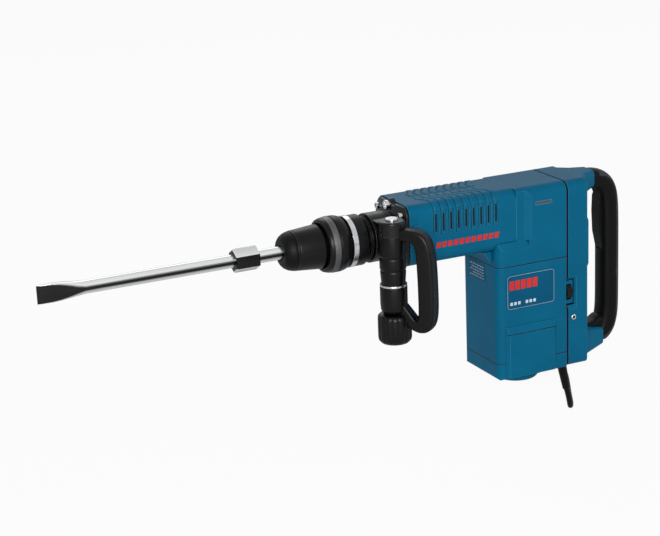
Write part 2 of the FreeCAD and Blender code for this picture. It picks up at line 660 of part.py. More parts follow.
def toothed(teeth, module, z0, z1, x, y, phase):
    """A spur gear with slim straight-sided teeth; phase is the angle of its first tooth."""
    pitch_r = module * teeth / 2
    root_r = pitch_r - 1.2 * module
    tip_r = pitch_r + 0.85 * module
    root_half = 0.62 * module
    tip_half = 0.30 * module
    shapes = [rod_z(root_r, z0, z1, x, y)]
    for i in range(teeth):
        tooth = closed_face([V(root_r - 0.6, -root_half, z0), V(tip_r, -tip_half, z0),
                             V(tip_r, tip_half, z0), V(root_r - 0.6, root_half, z0)])
        tooth = tooth.extrude(V(0, 0, z1 - z0))
        tooth.rotate(V(0, 0, 0), Z_AXIS, math.degrees(phase) + 360.0 * i / teeth)
        tooth.translate(V(x, y, 0))
        shapes.append(tooth)
    return shapes[0].multiFuse(shapes[1:])


def armature_shaft():
    pinion = toothed(PINION_TEETH, GEAR_MODULE, GEAR_BOTTOM, GEAR_TOP, MOTOR_X, 0,
                     math.pi + math.pi / PINION_TEETH)
    lower = rod_z(MOTOR_SHAFT_R, LOWER_BEARING_BOTTOM, GEAR_BOTTOM - 2, MOTOR_X)
    neck = rod_z(PINION_NECK_R, GEAR_BOTTOM - 2, GEAR_BOTTOM, MOTOR_X)
    return pinion.multiFuse([lower, neck])


def armature_core():
    core = ring_z(ARMATURE_R, MOTOR_SHAFT_R, STATOR_BOTTOM, STATOR_TOP, MOTOR_X)
    slots = []
    for i in range(12):
        slot = block(ARMATURE_R - 9, ARMATURE_R + 1, -1.2, 1.2, STATOR_BOTTOM - 1, STATOR_TOP + 1)
        slot.rotate(V(0, 0, 0), Z_AXIS, 30.0 * i)
        slot.translate(V(MOTOR_X, 0, 0))
        slots.append(slot)
    return core.cut(Part.makeCompound(slots))


def commutator():
    return ring_z(COMMUTATOR_R, MOTOR_SHAFT_R, BRUSH_Z - 7, BRUSH_Z + 9, MOTOR_X)


def cooling_fan():
    fan_r = 38.0
    hub = ring_z(11.0, MOTOR_SHAFT_R, FAN_BOTTOM, FAN_TOP, MOTOR_X)
    disc = ring_z(fan_r, MOTOR_SHAFT_R, FAN_TOP - 2.5, FAN_TOP, MOTOR_X)
    blades = []
    for i in range(12):
        blade = block(16.0, fan_r - 1, -1.0, 1.0, FAN_BOTTOM, FAN_TOP - 2)
        blade.rotate(V(16.0, 0, 0), Z_AXIS, 20.0)
        blade.rotate(V(0, 0, 0), Z_AXIS, 30.0 * i)
        blade.translate(V(MOTOR_X, 0, 0))
        blades.append(blade.common(rod_z(fan_r, FAN_BOTTOM, FAN_TOP, MOTOR_X)))
    return hub.multiFuse([disc] + blades)


def bearings():
    """Ball bearings of the motor shaft and of the crankshaft."""
    lower = ring_z(LOWER_BEARING_R, MOTOR_SHAFT_R + RUN_GAP, LOWER_BEARING_BOTTOM,
                   LOWER_BEARING_TOP - 1, MOTOR_X)
    upper = ring_z(UPPER_BEARING_R, MOTOR_SHAFT_R + RUN_GAP, UPPER_BEARING_BOTTOM,
                   UPPER_BEARING_TOP, MOTOR_X)
    crank = [ring_z(CRANK_BEARING_R, CRANKSHAFT_R + RUN_GAP, top - 9.0, top, CRANK_X)
             for top in (PLATE_TOP, CASE_FLOOR)]
    return Part.makeCompound([lower, upper] + crank)


def carbon_brushes():
    brushes = []
    for s in (1, -1):
        brush = block(MOTOR_X - 4, MOTOR_X + 4, COMMUTATOR_R + GAP, 36.0, BRUSH_Z - 4, BRUSH_Z + 4)
        brushes.append(brush if s > 0 else mirrored(brush))
    return Part.makeCompound(brushes)


def brush_holders():
    """Brass guides that reach from the side openings towards the commutator."""
    holders = []
    for s in (1, -1):
        guide = block(MOTOR_X - 6, MOTOR_X + 6, 20.0, BODY_HALF_WIDTH, BRUSH_Z - 4, BRUSH_Z + 6)
        guide = guide.cut(block(MOTOR_X - 4, MOTOR_X + 4, 19.0, 44.0, BRUSH_Z - 4, BRUSH_Z + 4))
        holders.append(guide if s > 0 else mirrored(guide))
    return Part.makeCompound(holders)


# ---- gear case and percussion mechanism -----------------------------------------------------
def gear_plate():
    """Aluminium floor of the gear room; it carries the motor and crankshaft bearings."""
    plate = body_prism(PLATE_TOP - 8.0, PLATE_TOP, WALL)
    cup = rod_z(UPPER_BEARING_R + 4, UPPER_BEARING_BOTTOM, PLATE_TOP - 8.0, MOTOR_X)
    crank_cup = rod_z(CRANK_BEARING_R + 3, PLATE_TOP - 12.0, PLATE_TOP - 8.0, CRANK_X)
    body = joined([plate, cup, crank_cup])
    body = body.cut(rod_z(UPPER_BEARING_R, UPPER_BEARING_BOTTOM - 1, UPPER_BEARING_TOP, MOTOR_X))
    body = body.cut(rod_z(MOTOR_SHAFT_R + 0.5, UPPER_BEARING_TOP - 1, PLATE_TOP + 1, MOTOR_X))
    return body.cut(rod_z(CRANK_BEARING_R, PLATE_TOP - 9.0, PLATE_TOP + 1, CRANK_X))


def crank_gear():
    gear = toothed(CRANK_TEETH, GEAR_MODULE, GEAR_BOTTOM, GEAR_TOP, CRANK_X, 0, 0.0)
    holes = []
    for i in range(6):
        a = math.radians(60.0 * i + 30)
        holes.append(rod_z(2.6, GEAR_BOTTOM - 1, GEAR_TOP + 1, CRANK_X + 13.5 * math.cos(a),
                           13.5 * math.sin(a)))
    return gear.cut(Part.makeCompound([rod_z(CRANKSHAFT_R, -80, 0, CRANK_X)] + holes))


def crankshaft():
    shaft = rod_z(CRANKSHAFT_R, PLATE_TOP - 9.0, DISC_TOP - DISC_THICK, CRANK_X)
    disc = rod_z(DISC_R, DISC_TOP - DISC_THICK, DISC_TOP, CRANK_X)
    relief = rod_z(DISC_R - 6, DISC_TOP - 6, DISC_TOP + 1, CRANK_X, -DISC_R - 2)
    return joined([shaft, disc]).cut(relief)


def crankcase():
    """Open-topped casting round the crank; its front wall takes the cylinder."""
    half = CASE_HALF
    outer = block(CASE_FRONT, CASE_BACK, -half, half, CASE_FLOOR - 9.0, half)
    room = block(CASE_FRONT + CASE_WALL, CASE_BACK - CASE_WALL, CASE_WALL - half,
                 half - CASE_WALL, CASE_FLOOR, half + 1)
    bearing = rod_z(CRANK_BEARING_R, CASE_FLOOR - 10, CASE_FLOOR + 1, CRANK_X)
    return outer.cut(room).cut(bearing).cut(rod_x(CYLINDER_R, CASE_FRONT - 1, CASE_FRONT + 5))


def gear_case():
    """Black cast tube: neck for the clamp, flared flange against the barrel, cylinder seat."""
    profile = [(NECK_FRONT, 0), (NECK_FRONT, NECK_R), (NECK_BACK - 8, NECK_R),
               (NECK_BACK - 4, NECK_R + 5), (BARREL_FRONT - 1, 62), (BARREL_FRONT, 62),
               (BARREL_FRONT, TUBE_R), (CASE_FRONT, TUBE_R), (CASE_FRONT, 0)]
    body = turned_x(profile)
    limits = prism_x(NECK_FRONT - 1, CASE_FRONT + 1, 1.5 - BARREL_HALF_WIDTH,
                     BARREL_HALF_WIDTH - 1.5, BARREL_BOTTOM + 1.5, TOP_Z - 1.5, 16.0,
                     BARREL_CORNER)
    body = body.common(limits).fuse(rod_x(8.0, CASE_BOLT_X, BARREL_FRONT, 0, CASE_BOLT_Z))
    seats = [rod_x(5.6, BARREL_FRONT - 20, FLANGE_SCREW_X, y, z) for y, z in FLANGE_SCREWS]
    seats.append(rod_x(8.0, BARREL_FRONT - 20, CASE_BOLT_X, 0, CASE_BOLT_Z))
    body = body.cut(Part.makeCompound(seats))
    body = body.cut(rod_x(NECK_R - NECK_WALL, NECK_FRONT - 1, NECK_BACK))
    body = body.cut(rod_x(CYLINDER_R, CYLINDER_FRONT - DAMPER_LENGTH, CASE_FRONT + 1))
    return body.cut(rod_x(GUIDE_BORE_R, NECK_BACK - 1, CYLINDER_FRONT))


def case_screws():
    """Socket screws at the flange's corners and the larger bolt on top of the gear case."""
    screws = []
    for y, z in FLANGE_SCREWS:
        head = rod_x(4.2, FLANGE_SCREW_X - 5.0, FLANGE_SCREW_X, y, z)
        screws.append(head.cut(rod_x(2.2, FLANGE_SCREW_X - 6.0, FLANGE_SCREW_X - 2.5, y, z)))
    bolt = rod_x(6.0, CASE_BOLT_X - 5.5, CASE_BOLT_X, 0, CASE_BOLT_Z)
    screws.append(bolt.cut(rod_x(3.0, CASE_BOLT_X - 6.5, CASE_BOLT_X - 3.0, 0, CASE_BOLT_Z)))
    return Part.makeCompound(screws)


def cylinder():
    return ring_x(CYLINDER_R, CYLINDER_BORE, CYLINDER_FRONT, CASE_FRONT + CASE_WALL)


def damping_ring():
    return ring_x(CYLINDER_R, ANVIL_R + 1.0, CYLINDER_FRONT - DAMPER_LENGTH, CYLINDER_FRONT)


def piston():
    r = CYLINDER_BORE - SLIDE_GAP
    body = rod_x(r, PISTON_PIN_X + PISTON_SKIRT - PISTON_LENGTH, PISTON_PIN_X + PISTON_SKIRT)
    body = body.cut(rod_x(13.0, PISTON_PIN_X - 9.0, PISTON_PIN_X + 12))
    bosses = []
    for s in (1, -1):
        low, high = sorted((s * 7.6, s * 16.0))
        bosses.append(rod_z(6.5, low, high, PISTON_PIN_X).common(
            rod_x(r - 0.5, PISTON_PIN_X - 9, PISTON_PIN_X + PISTON_SKIRT)))
    return joined([body] + bosses).cut(rod_z(PISTON_PIN_R, -30, 30, PISTON_PIN_X))


def piston_pin():
    return rod_z(PISTON_PIN_R, -14.0, 14.0, PISTON_PIN_X)


def connecting_rod():
    """Lies along the line from the piston pin to the crank pin."""
    small = rod_z(7.5, -7.0, 7.0)
    big = rod_z(11.0, -7.0, 7.0, ROD_LENGTH)
    web = block(3, ROD_LENGTH - 6, -4.5, 4.5, -4.5, 4.5)
    rod = joined([small, big, web])
    rod = rod.cut(rod_z(PISTON_PIN_R + RUN_GAP, -20, 20)).cut(rod_z(PIN_R, -20, 20, ROD_LENGTH))
    return laid_on_rod_line(rod)


def crank_pin():
    """Held in the rod's big end; the seat in the crank disc is where the linkage is open."""
    return laid_on_rod_line(rod_z(PIN_R, DISC_TOP + 0.5, 9.0, ROD_LENGTH))


def laid_on_rod_line(shape):
    shape.rotate(V(0, 0, 0), Z_AXIS, ROD_ANGLE)
    shape.translate(V(PISTON_PIN_X, 0, 0))
    return shape


def striker():
    r = CYLINDER_BORE - SLIDE_GAP
    body = rod_x(r, STRIKER_FRONT, STRIKER_FRONT + STRIKER_LENGTH)
    groove = ring_x(r + 1, r - 2.5, STRIKER_FRONT + 22.0, STRIKER_FRONT + 25.0)
    return body.cut(groove)


def anvil():
    """Stepped striking pin that passes the blow from the striker to the chisel."""
    x0 = CHISEL_BACK + 0.5
    return turned_x([(x0, 0), (x0, 8.2), (x0 + 1, SHANK_R - 0.4), (-166.0, SHANK_R - 0.4),
                     (-163.0, ANVIL_COLLAR_R), (-150.0, ANVIL_COLLAR_R), (-147.0, ANVIL_R),
                     (ANVIL_BACK - 1, ANVIL_R), (ANVIL_BACK, ANVIL_R - 1), (ANVIL_BACK, 0)])


# ---- tool holder ----------------------------------------------------------------------------
def holder_bush():
    return ring_x(NECK_R - NECK_WALL, HOLDER_R + RUN_GAP, NECK_FRONT + 2, NECK_BACK)


def tool_sleeve():
    """Steel sleeve that holds the chisel's shank; windows take the locking rollers."""
    body = rod_x(HOLDER_R, NOSE_X + 7, NECK_BACK - 2)
    body = body.cut(rod_x(SHANK_R + SLIDE_GAP, NOSE_X, CHISEL_BACK + 1))
    body = body.cut(rod_x(ANVIL_COLLAR_R + GAP, -180.0, NECK_BACK))
    body = body.cut(rod_x(SHANK_R + RUN_GAP, CHISEL_BACK, -179.0))
    for s in (1, -1):
        window = block(ROLLER_FRONT, ROLLER_FRONT + ROLLER_LENGTH, -ROLLER_R, ROLLER_R, 0, 14.0)
        window = window if s > 0 else window.mirror(V(0, 0, 0), Z_AXIS)
        body = body.cut(window)
    return body


def locking_rollers():
    rollers = []
    for s in (1, -1):
        rollers.append(rod_x(ROLLER_R, ROLLER_FRONT, ROLLER_FRONT + ROLLER_LENGTH, 0,
                             s * ROLLER_AXIS_R))
    return Part.makeCompound(rollers)


def dust_cap():
    """Rubber nose with a bevelled front, over the front of the tool sleeve."""
    body = turned_x([(NOSE_X, 0), (NOSE_X, 19.0), (NOSE_X + 4, 21.5), (NOSE_X + 17, 29.0),
                     (SLEEVE_FRONT - 0.4, 29.0), (SLEEVE_FRONT - 0.4, 0)])
    body = body.cut(rod_x(HOLDER_R, NOSE_X + 7, SLEEVE_FRONT))
    return body.cut(rod_x(SHANK_R + 0.1, NOSE_X - 1, SLEEVE_FRONT))


def locking_sleeve():
    """Pulled back to free the chisel; its skirt slides inside the index ring."""
    body = turned_x([(SLEEVE_FRONT, 0), (SLEEVE_FRONT, SLEEVE_R - 0.8),
                     (SLEEVE_FRONT + 1, SLEEVE_R - 0.2), (SLEEVE_BACK - 8, SLEEVE_R + 0.4),
                     (SLEEVE_BACK, SLEEVE_R + 0.4), (SLEEVE_BACK, SKIRT_R), (SKIRT_BACK, SKIRT_R),
                     (SKIRT_BACK, 0)])
    body = body.cut(rod_x(HOLDER_R + GAP, SLEEVE_FRONT - 1, SLEEVE_FRONT + 8))
    return body.cut(rod_x(SPRING_R + 1.2, SLEEVE_FRONT + 8, SKIRT_BACK + 1))


def locking_spring():
    """Coils that push the locking sleeve forward, round the tool sleeve."""
    coils = []
    for i in range(5):
        x = SPRING_FRONT + i * 6.0
        ring = Part.makeTorus(SPRING_R, 0.7, V(x, 0, 0), X_AXIS)
        coils.append(ring)
    return Part.makeCompound(coils)


def index_ring():
    """Large ring behind the sleeve; pushed forward it lets the chisel be turned."""
    body = turned_x([(RING_FRONT, 0), (RING_FRONT, 32.5), (RING_FRONT + 2, 33.5),
                     (RING_FRONT + 8, RING_R - 1.0), (RING_FRONT + 9.5, RING_R),
                     (RING_BACK - 4, RING_R), (RING_BACK - 2, RING_R - 3.5), (RING_BACK, 34.0),
                     (RING_BACK, 0)])
    body = body.cut(rod_x(SLEEVE_R + 0.4 + GAP, RING_FRONT - 1, RING_FRONT + 11))
    return body.cut(rod_x(SKIRT_R + GAP, RING_FRONT + 10, RING_BACK - 4)).cut(
        rod_x(HOLDER_R + GAP, RING_BACK - 5, RING_BACK + 1))


def steel_ring():
    return ring_x(35.5, HOLDER_R + 1.0, RING_BACK + 2, NECK_FRONT)


def neck_cover():
    """Black collar behind the steel ring, ending in two thin ribs."""
    body = turned_x([(NECK_FRONT, 0), (NECK_FRONT, 35.0), (-189.0, 35.0), (-184.5, 31.0),
                     (-184.5, 29.0), (-183.0, 29.0), (-183.0, 30.5), (-181.5, 30.5),
                     (-181.5, 29.0), (-180.0, 29.0), (-180.0, 30.5), (-178.5, 30.5),
                     (-178.5, 0)])
    return body.cut(rod_x(NECK_R, NECK_FRONT - 1, -178.0))


def chisel():
    """Flat chisel: locking grooves, round shank, hexagon collar, round bar, flat blade."""
    shank = rod_x(SHANK_R, COLLAR_BACK, CHISEL_BACK - 1)
    nose = Part.makeCone(SHANK_R, SHANK_R - 1, 1, V(CHISEL_BACK - 1, 0, 0), X_AXIS)
    flat = COLLAR_ACROSS / 2
    corners = [V(COLLAR_FRONT, flat / math.cos(math.pi / 6) * math.cos(math.radians(60 * i + 30)),
                 flat / math.cos(math.pi / 6) * math.sin(math.radians(60 * i + 30)))
               for i in range(6)]
    collar = closed_face(corners).extrude(V(COLLAR_BACK - COLLAR_FRONT, 0, 0))
    cone = turned_x([(COLLAR_FRONT, 0), (COLLAR_FRONT, flat), (COLLAR_FRONT + 3, flat + 2.6),
                     (COLLAR_BACK - 3, flat + 2.6), (COLLAR_BACK, flat), (COLLAR_BACK, 0)])
    collar = collar.common(cone)
    bar = rod_x(SHANK_R - 0.2, BLADE_START, COLLAR_FRONT)
    blade = Part.makeLoft([blade_section(BLADE_START + 0.5, 6.2, 6.2),
                           blade_section(BLADE_START - 22, 5.6, 8.6),
                           blade_section(CHISEL_TIP + 28, 4.4, BLADE_WIDTH / 2),
                           blade_section(CHISEL_TIP + 7, 2.6, BLADE_WIDTH / 2)], True, True)
    edge = closed_face([V(CHISEL_TIP + 7, 2.6, 0), V(CHISEL_TIP, 0.4, 0), V(CHISEL_TIP, -0.4, 0),
                        V(CHISEL_TIP + 7, -2.6, 0)]).extrude(V(0, 0, BLADE_WIDTH))
    edge.translate(V(0, 0, -BLADE_WIDTH / 2))
    body = joined([bar, collar, shank, nose, blade, edge])
    grooves = []
    for s in (1, -1):
        groove = prism_z(GROOVE_FRONT, GROOVE_BACK, -4.0, 4.0, ROLLER_AXIS_R - ROLLER_R - 0.3,
                         12.0, 3.5)
        grooves.append(groove if s > 0 else groove.mirror(V(0, 0, 0), Z_AXIS))
    return body.cut(Part.makeCompound(grooves))


def blade_section(x, half_y, half_z):
    points = [V(x, -half_y, -half_z), V(x, half_y, -half_z), V(x, half_y, half_z),
              V(x, -half_y, half_z), V(x, -half_y, -half_z)]
    return Part.makePolygon(points)


# ---- auxiliary handle -----------------------------------------------------------------------
def clamp_band():
    """Band round the neck with the head on which the side handle swivels."""
    band = rod_x(CLAMP_R, CLAMP_FRONT, CLAMP_BACK)
    head = rod_z(STEM_R, SWIVEL_Z, STEM_TOP, STEM_X, STEM_Y)
    rim = [e for e in head.Edges if abs(e.BoundBox.ZMin - STEM_TOP) < 0.01]
    head = head.makeFillet(3.0, rim)
    bridge = block(CLAMP_FRONT + 2, CLAMP_BACK - 2, STEM_Y + 6, -18.0, SWIVEL_Z, 29.0)
    body = joined([band, head, bridge])
    body = body.cut(rod_x(NECK_R + GAP, CLAMP_FRONT - 1, CLAMP_BACK + 1))
    return body.cut(rod_z(BOLT_R, SWIVEL_Z - 1, STEM_TOP + 1, STEM_X, STEM_Y))


def clamp_bolt():
    """Long bolt down the handle's stem; the knob below screws onto it."""
    shaft = rod_z(BOLT_R, KNOB_TOP - 20.0, STEM_TOP, STEM_X, STEM_Y)
    head = rod_z(8.5, STEM_TOP, STEM_TOP + 3.0, STEM_X, STEM_Y)
    rim = [e for e in head.Edges if abs(e.BoundBox.ZMin - STEM_TOP - 3.0) < 0.01]
    return joined([shaft, head.makeFillet(1.2, rim)])


def turned_to_loop(shape):
    """Turns a shape made along +X from the stem's axis into the loop's direction."""
    shape.rotate(V(0, 0, 0), Z_AXIS, LOOP_ANGLE)
    shape.translate(V(STEM_X, STEM_Y, 0))
    return shape


def handle_stem():
    """The upright post of the side handle, stepped at the bright ring."""
    top = SWIVEL_Z - GAP
    profile = [(0, top), (STEM_R, top), (STEM_R, -16.0), (STEM_R - 1.0, -17.0),
               (STEM_R - 1.0, -19.0), (STEM_R, -20.0), (STEM_R - 1.5, WHITE_RING_Z + 2.5),
               (STEM_R - 1.5, WHITE_RING_Z - 1.5), (STEM_R + 1.0, WHITE_RING_Z - 2.5),
               (STEM_R + 1.0, KNOB_TOP + 6.0), (STEM_R - 3.0, KNOB_TOP + GAP),
               (0, KNOB_TOP + GAP)]
    return turned_z(profile, 0, 0)


def side_handle():
    """Post and closed D-loop of the side handle, in one moulding."""
    half = LOOP_BAR / 2
    outer = prism_y(STEM_R - 4.0, LOOP_REACH + half, -half, half, LOOP_BOTTOM, LOOP_TOP, 22.0)
    inner = prism_y(STEM_R - 2.0, LOOP_REACH - half, -half - 1, half + 1, LOOP_BOTTOM + 22.0,
                    LOOP_TOP - 14.0, 9.0)
    loop = outer.cut(inner)
    slim = prism_x(0, LOOP_REACH + half + 1, -half + 1.5, half - 1.5, LOOP_BOTTOM - 1,
                   LOOP_TOP + 1, 0.5, 0.5)
    loop = loop.common(slim.fuse(block(LOOP_REACH - half - 1, 99, -half, half, -200, 60)))
    strut = plate_y([(0, -58.0), (STEM_R, -62.0), (LOOP_REACH - half + 4, LOOP_BOTTOM + 16.0),
                     (LOOP_REACH - half + 4, LOOP_BOTTOM), (STEM_R + 3, LOOP_BOTTOM + 8.0),
                     (0, KNOB_TOP + 10.0)], 2.0 - half, half - 2.0)
    loop = joined([loop, strut])
    head_room = rod_z(STEM_R + GAP, SWIVEL_Z - GAP, 100)
    knob_room = rod_z(KNOB_R + 1.0, KNOB_BOTTOM - 5, KNOB_TOP + GAP)
    body = joined([loop.cut(head_room).cut(knob_room), handle_stem()])
    return turned_to_loop(body.cut(rod_z(BOLT_R + GAP, KNOB_TOP - 1, SWIVEL_Z + 1)))


def clamp_knob():
    """Scalloped knob with a domed lower end."""
    profile = [(0, KNOB_TOP), (KNOB_R - 4, KNOB_TOP), (KNOB_R, KNOB_TOP - 4),
               (KNOB_R, KNOB_BOTTOM + 9), (KNOB_R - 3.5, KNOB_BOTTOM + 3), (0, KNOB_BOTTOM)]
    body = turned_z(profile, STEM_X, STEM_Y)
    cuts = []
    count = 8
    for i in range(count):
        a = 2 * math.pi * (i + 0.5) / count
        reach = KNOB_R + 4.5
        cuts.append(rod_z(6.0, KNOB_BOTTOM - 1, KNOB_TOP - 6, STEM_X + reach * math.cos(a),
                          STEM_Y + reach * math.sin(a)))
    body = body.cut(Part.makeCompound(cuts))
    return body.cut(rod_z(BOLT_R + RUN_GAP, KNOB_TOP - 20.5, KNOB_TOP + 1, STEM_X, STEM_Y))


# ---- cord -----------------------------------------------------------------------------------
def cord_boot():
    """Tapered rubber sleeve that keeps the lead from kinking where it leaves the shell."""
    axis = BOOT_END - BOOT_TOP
    body = Part.makeCone(7.5, 5.5, axis.Length, BOOT_TOP, axis)
    axis.normalize()
    collar = Part.makeCylinder(10.5, 3.7, BOOT_TOP + axis * -10.0, axis)
    neck = Part.makeCylinder(7.5, 9.0, BOOT_TOP + axis * -8.5, axis)
    return joined([body, collar, neck])


def route_wire(points):
    """Straight runs joined by tangent arcs, each as large as its two runs allow."""
    edges = []
    start = points[0]
    for i in range(1, len(points) - 1):
        before = points[i] - points[i - 1]
        after = points[i + 1] - points[i]
        turn = before.getAngle(after)
        setback = 0.45 * min(before.Length, after.Length)
        radius = setback / math.tan(turn / 2)
        u = V(before).normalize()
        w = V(after).normalize()
        enter = points[i] - u * setback
        leave = points[i] + w * setback
        bisector = (w - u).normalize()
        centre = points[i] + bisector * (radius / math.cos(turn / 2))
        middle = centre - bisector * radius
        print("lead bend", i, "radius", round(radius, 1))
        edges.append(Part.LineSegment(start, enter).toShape())
        edges.append(Part.Arc(enter, middle, leave).toShape())
        start = leave
    edges.append(Part.LineSegment(start, points[-1]).toShape())
    return Part.Wire(edges)


def cord_lead():
    path = route_wire(LEAD_ROUTE)
    direction = LEAD_ROUTE[1] - LEAD_ROUTE[0]
    section = Part.Wire(Part.Circle(LEAD_ROUTE[0], direction, CORD_R).toShape())
    tube = path.makePipeShell([section], True, False)
    expected = math.pi * CORD_R ** 2 * path.Length
    print("lead", round(path.Length), "mm, volume / expected", round(tube.Volume / expected, 4))
    return tube


def cord_coil():
    r0 = COIL_MEAN_R - COIL_HALF_WIDTH
    r1 = COIL_MEAN_R + COIL_HALF_WIDTH
    wire = rounded_wire(r0, r1, GROUND_Z, GROUND_Z + COIL_HEIGHT, [10.0] * 4,
                        lambda a, b: V(COIL_X + a, COIL_Y, b))
    return Part.Face(wire).revolve(V(COIL_X, COIL_Y, 0), Z_AXIS, 360)


def plug():
    """Two-pin mains plug lying on the coil."""
    z0 = GROUND_Z + COIL_HEIGHT
    body = prism_x(-22.0, 22.0, -17.0, 17.0, z0, z0 + 27.0, 9.0, 9.0)
    tail = Part.makeCone(8.0, 5.5, 24.0, V(22.0, 0, z0 + 13.5), X_AXIS)
    pins = [rod_x(2.4, -41.0, -21.0, y, z0 + 13.5) for y in (-9.5, 9.5)]
    shape = joined([body, tail] + pins)
    shape.rotate(V(0, 0, 0), Z_AXIS, PLUG_ANGLE)
    shape.translate(V(COIL_X, COIL_Y + COIL_MEAN_R, 0))
    return shape


PARTS = {
    "barrel_housing": barrel_housing,
    "gear_housing": gear_housing,
    "side_inlays": side_inlays,
    "motor_housing": motor_housing,
    "bottom_cap": bottom_cap,
    "brush_covers": brush_covers,
    "badge_plates": badge_plates,
    "rating_plate": rating_plate,
    "seam_seal": seam_seal,
    "rear_shell": rear_shell,
    "rear_plate": rear_plate,
    "shell_screws": shell_screws,
    "service_lamp": service_lamp,
    "speed_wheel": speed_wheel,
    "electronics_module": electronics_module,
    "main_grip": main_grip,
    "trigger": trigger,
    "trigger_pin": trigger_pin,
    "switch_module": switch_module,
    "stator_core": stator_core,
    "stator_windings": stator_windings,
    "armature_shaft": armature_shaft,
    "armature_core": armature_core,
    "commutator": commutator,
    "cooling_fan": cooling_fan,
    "carbon_brushes": carbon_brushes,
    "brush_holders": brush_holders,
    "bearings": bearings,
    "gear_plate": gear_plate,
    "crank_gear": crank_gear,
    "crankshaft": crankshaft,
    "crankcase": crankcase,
    "gear_case": gear_case,
    "case_screws": case_screws,
    "cylinder": cylinder,
    "damping_ring": damping_ring,
    "piston": piston,
    "piston_pin": piston_pin,
    "connecting_rod": connecting_rod,
    "crank_pin": crank_pin,
    "striker": striker,
    "anvil": anvil,
    "holder_bush": holder_bush,
    "neck_cover": neck_cover,
    "steel_ring": steel_ring,
    "tool_sleeve": tool_sleeve,
    "locking_rollers": locking_rollers,
    "dust_cap": dust_cap,
    "locking_sleeve": locking_sleeve,
    "locking_spring": locking_spring,
    "index_ring": index_ring,
    "chisel": chisel,
    "clamp_band": clamp_band,
    "clamp_bolt": clamp_bolt,
    "side_handle": side_handle,
    "clamp_knob": clamp_knob,
    "cord_boot": cord_boot,
    "cord_lead": cord_lead,
    "cord_coil": cord_coil,
    "plug": plug,
}
for part_name, make in PARTS.items():
    save(part_name, make())
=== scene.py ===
"""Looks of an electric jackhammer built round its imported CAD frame.

Sizes are in millimetres in the tool's own axes: x runs along the hammer axis from the chisel
towards the main grip and is 0 at the motor housing's front, y is 0 in the middle plane with the
speed wheel on the -y side, and z is 0 on the hammer axis. at() turns them into the row frame.
"""
import math

import bmesh
import bpy
from mathutils import Matrix, Vector


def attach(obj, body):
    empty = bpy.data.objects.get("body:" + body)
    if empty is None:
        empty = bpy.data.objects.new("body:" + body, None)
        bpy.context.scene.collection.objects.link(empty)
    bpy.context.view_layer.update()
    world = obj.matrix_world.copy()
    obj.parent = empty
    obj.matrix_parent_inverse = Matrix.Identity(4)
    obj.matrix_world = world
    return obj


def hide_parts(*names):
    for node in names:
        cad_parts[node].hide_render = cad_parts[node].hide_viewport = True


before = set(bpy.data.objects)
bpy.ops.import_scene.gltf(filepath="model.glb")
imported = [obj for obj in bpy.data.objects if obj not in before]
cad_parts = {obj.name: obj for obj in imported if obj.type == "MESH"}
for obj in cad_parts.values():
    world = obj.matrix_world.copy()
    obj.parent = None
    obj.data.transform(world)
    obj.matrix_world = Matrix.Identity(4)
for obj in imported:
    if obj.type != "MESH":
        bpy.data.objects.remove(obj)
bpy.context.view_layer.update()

MM = 0.001
GRIP = Vector((213.0, 0.0, -100.0))      # the row frame's origin in the tool's own axes


def at(x, y, z):
    return (Vector((x, y, z)) - GRIP) * MM


# ---- camera ---------------------------------------------------------------------------------
AZIMUTH = math.radians(-25.02)
ELEVATION = math.radians(16.97)
ROLL = math.radians(-2.45)
EYE = at(-1215.0, -2106.0, 676.0)
LENS = 98.4


def make_camera():
    sight = Vector((-math.sin(AZIMUTH) * math.cos(ELEVATION),
                    math.cos(AZIMUTH) * math.cos(ELEVATION), -math.sin(ELEVATION)))
    right = Vector((math.cos(AZIMUTH), math.sin(AZIMUTH), 0.0))
    up = right.cross(sight)
    right, up = (math.cos(ROLL) * right + math.sin(ROLL) * up,
                 math.cos(ROLL) * up - math.sin(ROLL) * right)
    data = bpy.data.cameras.new("camera")
    data.lens = LENS
    data.sensor_width = 36.0
    data.clip_end = 100.0
    camera = bpy.data.objects.new("camera", data)
    axes = Matrix((right, up, -sight)).transposed()
    camera.matrix_world = Matrix.Translation(EYE) @ axes.to_4x4()
    bpy.context.scene.collection.objects.link(camera)
    bpy.context.scene.camera = camera


make_camera()
bpy.context.scene.view_settings.view_transform = "Standard"


# ---- materials ------------------------------------------------------------------------------
def srgb(r, g, b):
    def linear(c):
        c /= 255.0
        return c / 12.92 if c <= 0.04045 else ((c + 0.055) / 1.055) ** 2.4
    return (linear(r), linear(g), linear(b), 1.0)


